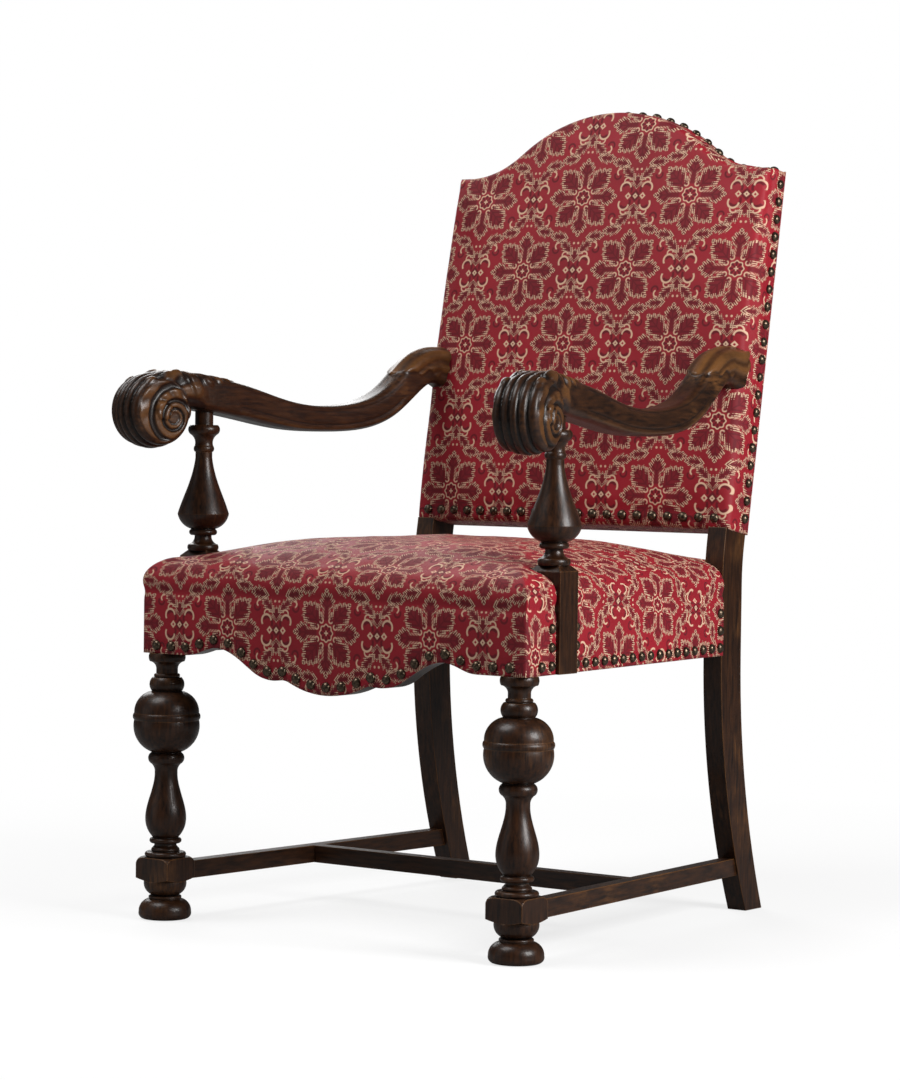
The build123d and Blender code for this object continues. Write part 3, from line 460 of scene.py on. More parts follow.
def damask(name):
    """Woven damask that follows the cloth's own map."""
    cloth = bpy.context.scene.armchair.cloth
    finish = Finish(name)
    flat = finish.place(MILLIMETRES, "UV")
    u, v, _ = finish.parts(flat)
    plain = finish.place()
    drift = finish.noise(plain, 38.0, 2.0)
    threads = cloth.thread * 1000
    warp = u.sine(threads)
    weft = v.sine(threads * 0.8)
    u = u + drift * 1.2
    v = v + weft * 0.12
    dark, pale = damask_threads(u, v, cloth.repeat_width * 1000, cloth.repeat_height * 1000)
    fleck = finish.noise(flat, 1.1, 2.0, 0.7)
    mottle = finish.noise(plain, 7.0, 3.0)
    pale = pale * (fleck * 0.6 + 0.65).limited()
    light = [min(1.0, c * 1.5) for c in cloth.ground[:3]] + [1]
    ground = finish.blend(mottle.over(0.5, 0.6), cloth.ground, light)
    filled = finish.blend(dark * (0.86 + warp * 0.1), ground, cloth.dark)
    woven = finish.blend(pale * (0.88 + weft * 0.12), filled, cloth.pale)
    finish.drive(Base_Color=woven)
    finish.drive(Roughness=0.46 + pale * 0.2 + dark * 0.14 + fleck * 0.08)
    relief = pale * 0.7 + warp * 0.16 + weft * 0.12 - dark * 0.1
    finish.drive(Normal=finish.bump(relief, 0.45, 0.0005))
    finish.constant(Sheen_Weight=0.04, Sheen_Roughness=0.35, Sheen_Tint=(1.0, 0.7, 0.66, 1))
    finish.constant(Specular_IOR_Level=0.26)
    return finish.material


def antique_bronze(name):
    """Dark bronze with brighter worn tops."""
    finish = Finish(name)
    plain = finish.place()
    spots = finish.noise(plain, 420.0, 3.0)
    broad = finish.noise(plain, 90.0, 2.0)
    base = finish.blend(spots.over(0.52, 0.4), (0.028, 0.020, 0.015, 1), (0.16, 0.115, 0.075, 1))
    finish.drive(Base_Color=base)
    finish.drive(Roughness=0.2 + broad * 0.25)
    finish.drive(Normal=finish.bump(spots, 0.35, 0.0006))
    finish.constant(Metallic=0.88)
    return finish.material


def bare_steel(name):
    """Drawn steel with a fine grain."""
    finish = Finish(name)
    grain = finish.noise(finish.place((4, 4, 60)), 60.0, 3.0)
    finish.drive(Base_Color=finish.blend(grain, (0.36, 0.35, 0.34, 1), (0.55, 0.54, 0.53, 1)))
    finish.drive(Roughness=0.3 + grain * 0.2)
    finish.constant(Metallic=1.0)
    return finish.material


def coarse_weave(name, first, second, thread):
    """Plain-woven jute with visible threads, their spacing in millimetres."""
    finish = Finish(name)
    u, v, _ = finish.parts(finish.place(MILLIMETRES, "UV"))
    warp = u.sine(thread)
    weft = v.sine(thread)
    over = (warp * weft).over(0.0, 0.6)
    fuzz = finish.noise(finish.place(), 700.0, 3.0)
    finish.drive(Base_Color=finish.blend((over * 0.6 + fuzz * 0.4).limited(), first, second))
    finish.drive(Normal=finish.bump(abs(warp) + abs(weft) + fuzz * 0.5, 0.5, 0.0008))
    finish.constant(Roughness=0.92, Sheen_Weight=0.1)
    return finish.material


# Meshes: dent round a nail and its reach, slack for finding a nail's tip and rim, distance over which
# nailed cloth becomes loose, length of the cloth's simulation, and the faces of a box
NAIL_DENT = 0.0014
NAIL_DENT_REACH = 0.008
TIP_SLACK = 0.0012
RIM_SHARE = 0.96
LOOSE_REACH = 0.03
CLOTH_FRAMES = 20
BOX_FACES = ((0, 1, 3, 2), (4, 6, 7, 5), (0, 4, 5, 1), (2, 3, 7, 6), (0, 2, 6, 4), (1, 5, 7, 3))


def new_piece(name, points, faces):
    """An object at the origin from points and faces, with its doubles merged and faces turned outwards."""
    mesh = bpy.data.meshes.new(name)
    mesh.from_pydata([tuple(p) for p in points], [], faces)
    work = bmesh.new()
    work.from_mesh(mesh)
    bmesh.ops.remove_doubles(work, verts=work.verts, dist=0.00005)
    bmesh.ops.recalc_face_normals(work, faces=work.faces)
    work.to_mesh(mesh)
    work.free()
    mesh.shade_smooth()
    piece = bpy.data.objects.new(name, mesh)
    bpy.context.scene.collection.objects.link(piece)
    return piece


def applied(piece):
    """Turns what a piece's modifiers show into its plain mesh."""
    graph = bpy.context.evaluated_depsgraph_get()
    mesh = bpy.data.meshes.new_from_object(piece.evaluated_get(graph), depsgraph=graph)
    piece.modifiers.clear()
    piece.data = mesh
    return piece


def dressed(piece, material, slot, *nodes):
    """Gives a finished piece its material and body, and hides the nodes it stands for; its slot is not used.
    """
    piece.data.materials.clear()
    piece.data.materials.append(material)
    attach(piece, "root")
    if nodes:
        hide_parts(*nodes)
    return piece


def positions(mesh):
    """A mesh's points as an array."""
    flat = np.empty(len(mesh.vertices) * 3)
    mesh.vertices.foreach_get("co", flat)
    return flat.reshape(-1, 3)


def set_positions(mesh, points):
    """Moves a mesh's points."""
    mesh.vertices.foreach_set("co", np.asarray(points, np.float32).ravel())
    mesh.update()


class Patches:
    """Grids of points that share their edges."""

    def __init__(self):
        self.points = []
        self.faces = []

    def add(self, grid):
        start = len(self.points)
        rows = len(grid)
        columns = len(grid[0])
        for row in grid:
            self.points.extend(row)
        for i in range(rows - 1):
            for j in range(columns - 1):
                at = start + i * columns + j
                self.faces.append((at, at + 1, at + columns + 1, at + columns))


def steps(count):
    """Even steps from 0 to 1."""
    return [i / count for i in range(count + 1)]


def grid_piece(name, rows):
    """A piece from one grid of points."""
    patches = Patches()
    patches.add(rows)
    return new_piece(name, patches.points, patches.faces)


def rim_places(columns, rows):
    """The four edges of a grid, as places between 0 and 1 on it."""
    level = [[(a, end) for a in steps(columns)] for end in (0, 1)]
    upright = [[(end, b) for b in steps(rows)] for end in (0, 1)]
    return level + upright


def thickened(piece, amount):
    """Gives a sheet its thickness, half to each side."""
    thick = piece.modifiers.new("Thickness", "SOLIDIFY")
    thick.thickness = amount
    thick.offset = 0
    return applied(piece)


def loosened(distance):
    """How loose the cloth is at a distance from its nailed edge, from 0 to 1."""
    return min(max(distance / LOOSE_REACH, 0), 1)


def rippled(point, broad, fine):
    """Unevenness of stretched cloth at a point, from the scales and heights of broad and fine noise."""
    return sum(noise.noise(Vector(point) * scale) * height for scale, height in (broad, fine))


def outward_capped(work, rim):
    """Closes a rim with one face and turns all faces outwards."""
    bmesh.ops.contextual_create(work, geom=rim)
    bmesh.ops.recalc_face_normals(work, faces=work.faces)


def swelled(piece, pinned, pressure, most):
    """Lets a cloth sheet swell against its pinned points, each moving no further than a given amount."""
    before = positions(piece.data)
    group = piece.vertex_groups.new(name="nailed")
    group.add(pinned, 1.0, "REPLACE")
    cloth = piece.modifiers.new("Cloth", "CLOTH")
    cloth.settings.quality = 6
    cloth.settings.mass = 0.35
    cloth.settings.tension_stiffness = 30
    cloth.settings.compression_stiffness = 30
    cloth.settings.shear_stiffness = 12
    cloth.settings.bending_stiffness = 1.2
    cloth.settings.use_pressure = True
    cloth.settings.uniform_pressure_force = pressure
    cloth.settings.vertex_group_mass = "nailed"
    cloth.settings.effector_weights.gravity = 0
    cloth.collision_settings.use_collision = False
    scene = bpy.context.scene
    for step in range(1, CLOTH_FRAMES + 1):
        scene.frame_set(step)
    graph = bpy.context.evaluated_depsgraph_get()
    after = positions(piece.evaluated_get(graph).data)
    piece.modifiers.clear()
    piece.vertex_groups.clear()
    scene.frame_set(1)
    move = after - before
    far = np.linalg.norm(move, axis=1, keepdims=True)
    move *= np.minimum(1.0, most / np.maximum(far, 1e-9))
    set_positions(piece.data, before + move)
    return piece


def smoothed(piece):
    """One level of subdivision, applied."""
    soft = piece.modifiers.new("Smooth", "SUBSURF")
    soft.levels = 1
    soft.render_levels = 1
    return applied(piece)


def mapped(piece, place):
    """Gives each face a place on the flat cloth, from its points and its middle."""
    mesh = piece.data
    layer = mesh.uv_layers.get("cloth") or mesh.uv_layers.new(name="cloth")
    for face in mesh.polygons:
        middle = face.center
        for loop in face.loop_indices:
            point = mesh.vertices[mesh.loops[loop].vertex_index].co
            layer.data[loop].uv = place(point, middle)
    return piece


def cut_away(piece, boxes):
    """Removes the room of some upright boxes from a closed piece."""
    patches = Patches()
    for low, high in boxes:
        xs, ys, zs = zip(low, high)
        corners = [(x, y, z) for x in xs for y in ys for z in zs]
        start = len(patches.points)
        patches.points.extend(corners)
        for face in BOX_FACES:
            patches.faces.append(tuple(start + corner for corner in face))
    cutter = new_piece("cutter", patches.points, patches.faces)
    cut = piece.modifiers.new("Cut", "BOOLEAN")
    cut.operation = "DIFFERENCE"
    cut.solver = "EXACT"
    cut.object = cutter
    applied(piece)
    bpy.data.objects.remove(cutter)
    if not piece.data.polygons:
        raise RuntimeError("nothing is left of " + piece.name)
    return piece


def islands(mesh):
    """The separate solids of a mesh of loose triangles, as arrays of points."""
    points = positions(mesh)
    keys = {}
    weld = []
    for point in points:
        weld.append(keys.setdefault(tuple(np.round(point, 5)), len(keys)))
    parent = list(range(len(keys)))

    def root(i):
        while parent[i] != i:
            parent[i] = parent[parent[i]]
            i = parent[i]
        return i

    for face in mesh.polygons:
        first = root(weld[face.vertices[0]])
        for vertex in face.vertices[1:]:
            parent[root(weld[vertex])] = first
    groups = {}
    for index, key in enumerate(weld):
        groups.setdefault(root(key), []).append(points[index])
    return [np.array(group) for group in groups.values()]


def nail_places(node):
    """Where each nail's head meets the cloth, and the way it faces."""
    places = []
    for solid in islands(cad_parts[node].data):
        middle = np.unique(np.round(solid, 5), axis=0).mean(0)
        far = np.linalg.norm(solid - middle, axis=1)
        tip = solid[far > far.max() - TIP_SLACK]
        tip = (tip.min(0) + tip.max(0)) / 2
        axis = Vector(middle - tip).normalized()
        along = (solid - tip) @ np.array(axis)
        beside = np.linalg.norm(solid - tip - along[:, None] * np.array(axis), axis=1)
        rim = along[beside > beside.max() * RIM_SHARE].min()
        places.append((Vector(tip) + axis * rim, axis))
    return places


def pinched(piece, nodes):
    """Pulls the cloth in round each nail."""
    points = positions(piece.data)
    for node in nodes:
        for place, axis in nail_places(node):
            far = np.linalg.norm(points - np.array(place), axis=1)
            points -= np.array(axis) * (np.exp(-(far / NAIL_DENT_REACH) ** 2) * NAIL_DENT)[:, None]
    set_positions(piece.data, points)


# Seat: thickness of the cover, half of a leg's square head, faces of the rails, posts and support blocks
COVER = 0.003
HEAD_HALF = 0.018
FRONT_FACE = LEG_Y - HEAD_HALF
REAR_FACE = LEG_Y + 0.5365
POST_FRONT = LEG_Y + 0.492
SUPPORT_Y = LEG_Y + 0.0685
SUPPORT_HALF = 0.0193
SUPPORT_INNER = LEG_X - 0.0235
SIDE_SLOPE = (LEG_X + HEAD_HALF - POST_HIGH.x) / (POST_FRONT - LEG_Y - HEAD_HALF)
RAIL_TOP = RAIL_HIGH.z
HEM = RAIL_LOW.z

# Limits of the cuts for the support blocks and the posts, which reach past the seat
POST_ROOM = 0.0008
CUT_SIDE = 0.4
CUT_REAR = 0.6
CUT_LOW = 0.25
CUT_HIGH = 0.6

# Unevenness of the seat's cloth, how much closer its pattern is than the back's, and its underside's place
# above the rails
SEAT_RIPPLE = ((14, 0.0014), (45, 0.0005))
SEAT_TIGHTER = 1.065
UNDERSIDE_RISE = 0.006

# Scalloped front edge: ends of its lobes from the middle, and their depths below the hem
MIDDLE_END = 0.067
LOBE_END = 0.116
HOLLOW_END = 0.181
CORNER_START = 0.230
MIDDLE_DROP = 0.022
MIDDLE_SAG = 0.017
LOBE_DROP = 0.017
LOBE_SAG = 0.005
HOLLOW_RISE = 0.012


def seat_half_width(y):
    """Half width of the seat's cloth at a depth."""
    return LEG_X + HEAD_HALF - (y - LEG_Y - HEAD_HALF) * SIDE_SLOPE + COVER


def arc_drop(x, ends, sag):
    """Depth of an arc below its two level ends."""
    half = (ends[1] - ends[0]) / 2
    radius = (half * half + sag * sag) / (2 * sag)
    off = x - (ends[0] + ends[1]) / 2
    return sag - radius + math.sqrt(max(radius * radius - off * off, 0))


def scallop(x):
    """Height of the front edge of the cloth, in metres from the floor."""
    x = abs(x)
    if x <= MIDDLE_END:
        return HEM - MIDDLE_DROP - arc_drop(x, (-MIDDLE_END, MIDDLE_END), MIDDLE_SAG)
    if x <= LOBE_END:
        part = (x - MIDDLE_END) / (LOBE_END - MIDDLE_END)
        slant = MIDDLE_DROP + (LOBE_DROP - MIDDLE_DROP) * part
        return HEM - slant - arc_drop(x, (MIDDLE_END, LOBE_END), LOBE_SAG)
    if x <= HOLLOW_END:
        part = (x - LOBE_END) / (HOLLOW_END - LOBE_END)
        return HEM - LOBE_DROP + (LOBE_DROP + HOLLOW_RISE) * math.sin(part * math.pi / 2) ** 1.1
    if x <= CORNER_START:
        part = (x - HOLLOW_END) / (CORNER_START - HOLLOW_END)
        return HEM + HOLLOW_RISE * (0.5 + 0.5 * math.cos(part * math.pi))
    return HEM


def seat_profile(seat):
    """Inset and height from the crown's edge down to the rail's top."""
    edge = seat.crown - seat.crown_rise - seat.edge_radius
    places = []
    for part in steps(6):
        turn = math.pi / 2 * (1 - part)
        inset = seat.edge_radius * (1 - math.cos(turn)) - seat.swell
        places.append((inset, edge + seat.edge_radius * math.sin(turn)))
    for part in (0.5, 1.0):
        places.append((-seat.swell * (1 - part ** 2), edge + (RAIL_TOP - edge) * part))
    return places


def seat_cushion(seat):
    """Crowned top of the seat with its rounded edges, and the skirt down to the nailed hem."""
    profile = seat_profile(seat)
    columns = round(2 * seat_half_width(LEG_Y) / seat.pitch)
    rows = round((REAR_FACE - FRONT_FACE) / seat.pitch)
    hem_rows = 10

    def plan(a, b, inset):
        low = FRONT_FACE - COVER + inset
        high = REAR_FACE - inset
        y = low + (high - low) * b
        return (2 * a - 1) * (seat_half_width(y) - inset), y

    def rise(distance):
        return 1 - (1 - min(distance / seat.crown_reach, 1)) ** 2

    inner = profile[0][0]
    patches = Patches()
    top = []
    for b in steps(rows):
        row = []
        for a in steps(columns):
            x, y = plan(a, b, inner)
            beside = seat_half_width(y) - inner - abs(x)
            behind = min(y - FRONT_FACE + COVER, REAR_FACE - y) - inner
            row.append((x, y, profile[0][1] + seat.crown_rise * rise(beside) * rise(behind)))
        top.append(row)
    patches.add(top)
    for wall in rim_places(columns, rows):
        strip = []
        for inset, z in profile:
            strip.append([(*plan(a, b, inset), z) for a, b in wall])
        for part in steps(hem_rows)[1:]:
            row = []
            for a, b in wall:
                x, y = plan(a, b, 0)
                low = scallop(x) if b == 0 else HEM
                row.append((x, y, RAIL_TOP + (low - RAIL_TOP) * part))
            strip.append(row)
        patches.add(strip)
    return new_piece("seat_cushion", patches.points, patches.faces)


def closed_below(piece, thickness, level):
    """Turns the hem of a skirt inwards and closes the piece with a level underside."""
    work = bmesh.new()
    work.from_mesh(piece.data)
    rim = [edge for edge in work.edges if edge.is_boundary]
    for step in range(2):
        made = bmesh.ops.extrude_edge_only(work, edges=rim)["geom"]
        points = [v for v in made if isinstance(v, bmesh.types.BMVert)]
        rim = [e for e in made if isinstance(e, bmesh.types.BMEdge) and e.is_boundary]
        for point in points:
            if step == 0:
                inward = seat_half_width(point.co.y) - thickness
                point.co.x = max(-inward, min(inward, point.co.x))
                point.co.y = max(FRONT_FACE, min(REAR_FACE - thickness, point.co.y))
            else:
                inward = seat_half_width(point.co.y) - 5 * thickness
                point.co.x = max(-inward, min(inward, point.co.x))
                point.co.y = max(FRONT_FACE + 4 * thickness, min(REAR_FACE - 5 * thickness, point.co.y))
                point.co.z = level
    outward_capped(work, rim)
    work.to_mesh(piece.data)
    work.free()
    return piece


class ARMCHAIR_OT_seat(bpy.types.Operator):
    """Stuffed seat in one nailed cover"""

    bl_idname = "armchair.seat"
    bl_label = "Seat cushion"

    def execute(self, context):
        seat = context.scene.armchair.seat
        piece = seat_cushion(seat)
        nailed = [v.index for v in piece.data.vertices if v.co.z < RAIL_TOP]
        swelled(piece, nailed, seat.pressure, seat.give)
        points = positions(piece.data)
        normals = np.array([v.normal for v in piece.data.vertices])
        for i, point in enumerate(points):
            points[i] = point + normals[i] * rippled(point, *SEAT_RIPPLE) * loosened(point[2] - RAIL_TOP)
        set_positions(piece.data, points)
        smoothed(piece)
        pinched(piece, ["seat_front_nails"] + ["seat_side_nails_" + side for side in BOTH])
        closed_below(piece, COVER, RAIL_TOP + UNDERSIDE_RISE)
        boxes = []
        for _, sign in SIDES:
            for inner, front, rear in (
                (SUPPORT_INNER, SUPPORT_Y - SUPPORT_HALF, SUPPORT_Y + SUPPORT_HALF),
                (POST_LOW.x - POST_ROOM, POST_FRONT - POST_ROOM, CUT_REAR),
            ):
                low, high = sorted((sign * inner, sign * CUT_SIDE))
                boxes.append(((low, front, CUT_LOW), (high, rear, CUT_HIGH)))
        cut_away(piece, boxes)
        edge = seat_profile(seat)[0][1]
        start = context.scene.armchair.cloth.repeat_width / 2

        def place(point, middle):
            drop = max(0.0, edge - point.z)
            ahead = middle.y - FRONT_FACE
            behind = REAR_FACE - middle.y
            beside = seat_half_width(middle.y) - abs(middle.x)
            if beside < min(ahead, behind):
                side = math.copysign(1, middle.x)
                return (point.x + side * drop) * SEAT_TIGHTER + start, point.y - LEG_Y
            if ahead < behind:
                return point.x * SEAT_TIGHTER + start, point.y - LEG_Y - drop
            return point.x * SEAT_TIGHTER + start, point.y - LEG_Y + drop

        mapped(piece, place)
        dressed(piece, bpy.data.materials["red_damask"], "damask", "seat_cover", "seat_stuffing")
        return {"FINISHED"}


# Back: half width of its cloth, the band that the nails hold, and the pattern's place across and up
BACK_HALF = POST_HIGH.x + COVER
NAILED_DEPTH = 0.02
NAILED_RISE = 0.024
BACK_RIPPLE = ((11, 0.0014), (40, 0.0004))
BACK_PATTERN = (0.024, -0.243)


def back_matrix(back):
    """From the back's own plane (across, up the rake, forward) to the room."""
    lean = back.rake
    origin = Vector((0, LEG_Y + back.rear, back.bottom))
    across = Vector((1, 0, 0))
    up = Vector((0, math.sin(lean), math.cos(lean)))
    forward = Vector((0, -math.cos(lean), math.sin(lean)))
    turn = Matrix((across, up, forward)).transposed().to_4x4()
    turn.translation = origin
    return turn


def crest(back, x):
    """Height of the back's upper edge above its lower edge, and the edge's outward direction."""
    turn = 2 * math.atan(back.crest_rise / back.crest_half)
    hollow = back.crest_half / math.sin(turn) - back.dome_radius
    dome = back.shoulder + back.crest_rise - back.dome_radius
    side = math.copysign(1, x)
    x = abs(x)
    if x >= back.crest_half:
        return back.shoulder, Vector((0, 1))
    if x > back.dome_radius * math.sin(turn):
        off = back.crest_half - x
        down = math.sqrt(hollow * hollow - off * off)
        return back.shoulder + hollow - down, Vector((side * off, down)) / hollow
    rise = math.sqrt(back.dome_radius ** 2 - x * x)
    return dome + rise, Vector((side * x, rise)) / back.dome_radius


def crown_at(back, x, up):
    """How far the padded front stands forward of the posts' rear face."""
    return back.crown_depth - (x * x + (up - back.crown_up) ** 2) / (2 * back.crown_radius)


def back_sheet(name, back):
    """The back's front face, and its edges down to the posts' rear face."""
    columns = 66
    rows = 70
    radius = back.edge_radius

    def outline(a, b, inset):
        x = (2 * a - 1) * BACK_HALF
        top, out = crest(back, x)
        low = inset - COVER
        x = (2 * a - 1) * (BACK_HALF - inset)
        grown = COVER - inset
        if 0 < a < 1:
            upper = top + out.y * grown
            x_top = (2 * a - 1) * BACK_HALF + out.x * grown
        else:
            upper = back.shoulder + grown
            x_top = x
        return x + (x_top - x) * b ** 3, low + (upper - low) * b

    patches = Patches()
    face = []
    for b in steps(rows):
        row = []
        for a in steps(columns):
            x, up = outline(a, b, radius)
            row.append((x, up, crown_at(back, x, up)))
        face.append(row)
    patches.add(face)
    for edge in rim_places(columns, rows):
        strip = []
        for part in steps(3):
            turn = math.pi / 2 * (1 - part)
            row = []
            for a, b in edge:
                start = crown_at(back, *outline(a, b, radius))
                x, up = outline(a, b, radius * (1 - math.cos(turn)))
                row.append((x, up, start - radius * (1 - math.sin(turn))))
            strip.append(row)
        for part in steps(7)[1:]:
            row = []
            for a, b in edge:
                start = crown_at(back, *outline(a, b, radius)) - radius
                x, up = outline(a, b, 0)
                row.append((x, up, start * (1 - part)))
            strip.append(row)
        patches.add(strip)
    return new_piece(name, patches.points, patches.faces)


def back_map(back):
    """Place on the flat cloth of a point of the back, in its own plane."""

    def place(point, middle):
        drop = max(0.0, crown_at(back, point.x, point.y) - back.edge_radius - point.z)
        top = crest(back, middle.x)[0] - middle.y
        beside = POST_HIGH.x - abs(middle.x)
        u, v = point.x, point.y
        if drop > 0:
            nearest = min(top, beside, middle.y)
            if nearest == beside:
                u += math.copysign(drop, middle.x)
            elif nearest == top:
                v += drop
            else:
                v -= drop
        return u + BACK_PATTERN[0], v + BACK_PATTERN[1]

    return place


class ARMCHAIR_OT_back(bpy.types.Operator):
    """Stuffed back in one nailed cover"""

    bl_idname = "armchair.back"
    bl_label = "Back cushion"

    def execute(self, context):
        back = context.scene.armchair.back
        piece = back_sheet("back_cushion", back)
        nailed = [v.index for v in piece.data.vertices if v.co.z < NAILED_DEPTH or v.co.y < NAILED_RISE]
        swelled(piece, nailed, back.pressure, back.give)
        points = positions(piece.data)
        for i, point in enumerate(points):
            loose = loosened(point[2] - NAILED_DEPTH) * loosened(point[1] - NAILED_DEPTH)
            points[i][2] += rippled(point, *BACK_RIPPLE) * loose
        set_positions(piece.data, points)
        smoothed(piece)
        work = bmesh.new()
        work.from_mesh(piece.data)
        outward_capped(work, [edge for edge in work.edges if edge.is_boundary])
        work.to_mesh(piece.data)
        work.free()
        mapped(piece, back_map(back))
        piece.data.transform(back_matrix(back))
        pinched(piece, ["back_bottom_nails", "back_top_nails"] + ["back_side_nails_" + side for side in BOTH])
        dressed(piece, bpy.data.materials["red_damask"], "damask", "back_cover", "back_stuffing")
        return {"FINISHED"}


# Arms: slices in which a shaft's middle is measured, radii of the roll's grooves and of the leaf behind it,
# where the leaf on the shaft begins, and lengths of a front leaf's lobe and of the rear leaf
SLICE = 0.012
GROOVE_INNER = 0.034
GROOVE_OUTER = 0.056
GROOVE_DEPTH = 0.0020
COLLAR_REACH = 0.078
SHAFT_START = 0.050
LOBE_LENGTH = 0.021
REAR_LEAF_LENGTH = 0.085


def ramp(value, low, high):
    """A smooth step from 0 to 1 between two values."""
    part = np.clip((value - low) / (high - low), 0, 1)
    return part * part * (3 - 2 * part)


def ridge(value, half):
    """1 where a value is 0, falling off smoothly within about a half width."""
    return np.exp(-(value / half) ** 2)


def roll_carving(arm, lateral, ahead, rise, radius, turn):
    """Volutes on both ends of the roll, grooves between its reeds and leaf lobes behind it."""
    half = arm.roll_width / 2
    end = ramp(np.abs(lateral), half - 0.0022, half - 0.0008)
    far = np.hypot(ahead + arm.eye_back, rise + arm.eye_drop)
    bearing = np.arctan2(rise + arm.eye_drop, ahead + arm.eye_back)
    turns = np.log(np.maximum(far, 0.001) / arm.eye_radius) / math.log(arm.volute_growth)
    wound = 2 * np.pi * turns - bearing
    inside = ramp(far, arm.eye_radius, arm.eye_radius + 0.0015) * ramp(arm.volute_radius - radius, 0, 0.002)
    strokes = ramp(far, 0.022, 0.030) * ramp(bearing, -0.3, 0.3) * 0.32 * np.cos(bearing * 11 + far * 210)
    volute = end * inside * (ramp(np.cos(wound), -0.9, 0.1) * (1.4 + strokes) - 0.7) * arm.relief
    reed = arm.roll_width / arm.reeds
    seam = np.abs((lateral + half) / reed % 1 - 0.5) * reed
    seam = reed / 2 - seam
    rim = ramp(radius, GROOVE_INNER, GROOVE_INNER + 0.004) * ramp(GROOVE_OUTER - radius, 0, 0.004)
    rim = rim * ramp(half - np.abs(lateral), 0.003, 0.005)
    grooves = ridge(seam, 0.0013) * rim * -GROOVE_DEPTH
    behind = ramp(turn, 0.9, 1.2) * ramp(3.5 - turn, 0, 0.3)
    collar = ramp(radius, arm.volute_radius, arm.volute_radius + 0.004)
    collar = collar * ramp(COLLAR_REACH - radius, 0, 0.014)
    lobes = ramp(np.cos(turn * 9 - radius * 90), -0.9, 0.8) * 1.1 - 0.4
    side = ramp(np.abs(lateral), 0.014, 0.019)
    return volute + grooves + behind * collar * side * lobes * arm.relief * 1.2


def shaft_carving(arm, y, around, clear):
    """Leaves at both ends of the arm, and the beads along its edges."""
    bend = np.abs(around)
    part = np.clip(y / arm.leaf_end, 0, 1)
    lobe = np.cos(2 * np.pi * (y / LOBE_LENGTH - bend * 0.5))
    edge = 1.75 * (1 - part) ** 0.6 + 0.12 * lobe
    front = ramp(edge - bend, 0, 0.3) * ramp(arm.leaf_end - y, 0, 0.012)
    front = front * (0.95 * ramp(lobe, -0.9, 0.4) - 0.25 + 0.5 * ridge(bend, 0.2) * ramp(part, 0.3, 0.8))
    back = np.clip((y - arm.rear_leaf) / REAR_LEAF_LENGTH, 0, 1)
    spread = 2.3 * back ** 0.6 * (1 + 0.1 * np.sin(back * 17))
    rear = ramp(spread - bend, 0, 0.2) * ramp(y, arm.rear_leaf, arm.rear_leaf + 0.004)
    rear = rear * (0.8 + 0.5 * np.cos(around * 8))
    middle = ramp(y, 0.1, 0.12) * ramp(arm.rear_leaf + 0.02 - y, 0, 0.03)
    beads = 0.5 * ridge(bend - 2.2, 0.13) - 0.35 * ridge(bend - 1.95, 0.06) - 0.3 * ridge(bend - 0.95, 0.05)
    return (clear * front * 1.3 + rear + middle * beads) * arm.relief


def arm_carving(arm, points, sign):
    """How far each point of an arm stands out."""
    x = points[:, 0] * sign
    y = points[:, 1] - LEG_Y
    z = points[:, 2]
    slices = np.round(y / SLICE).astype(int)
    stops = np.unique(slices)

    def from_middle(values):
        inside = [values[slices == stop] for stop in stops]
        middles = np.array([(part.min() + part.max()) / 2 for part in inside])
        return values - np.interp(y, stops * SLICE, middles)

    around = np.arctan2(from_middle(x), from_middle(z))
    dx = x - arm.roll_x
    dy = y - arm.roll_y
    dz = z - arm.roll_z
    lateral = dx * math.cos(arm.flare) + dy * math.sin(arm.flare)
    ahead = dx * math.sin(arm.flare) - dy * math.cos(arm.flare)
    radius = np.hypot(ahead, dz)
    turn = np.arctan2(dz, ahead)
    turn = np.where(turn < -1.5, turn + 2 * np.pi, turn)
    clear = ramp(radius, SHAFT_START, SHAFT_START + 0.008)
    return roll_carving(arm, lateral, ahead, dz, radius, turn) + shaft_carving(arm, y, around, clear)


class ARMCHAIR_OT_arms(bpy.types.Operator):
    """Carved arms with volutes and leaves"""

    bl_idname = "armchair.arms"
    bl_label = "Carved arms"

    def execute(self, context):
        arm = context.scene.armchair.arm
        for name, sign in SIDES:
            node = "arm_" + name
            piece = bpy.data.objects.new(node + "_carved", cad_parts[node].data.copy())
            context.scene.collection.objects.link(piece)
            grid = piece.modifiers.new("Grid", "REMESH")
            grid.mode = "VOXEL"
            grid.voxel_size = arm.voxel
            grid.use_smooth_shade = True
            applied(piece)
            points = positions(piece.data)
            normals = np.empty(len(points) * 3)
            piece.data.vertex_normals.foreach_get("vector", normals)
            height = arm_carving(arm, points, sign)
            set_positions(piece.data, points + normals.reshape(-1, 3) * height[:, None])
            mark = piece.data.attributes.new("relief", "FLOAT", "POINT")
            mark.data.foreach_set("value", np.clip(height / arm.relief, -1, 1))
            dressed(piece, bpy.data.materials["carved_wood"], "dark_wood", node)
        return {"FINISHED"}


# Nails: underside of a head as a share of its height, and the spread of the heads' sizes
HEAD_FLOOR = -0.18
HEAD_SPREAD = (0.93, 1.05)


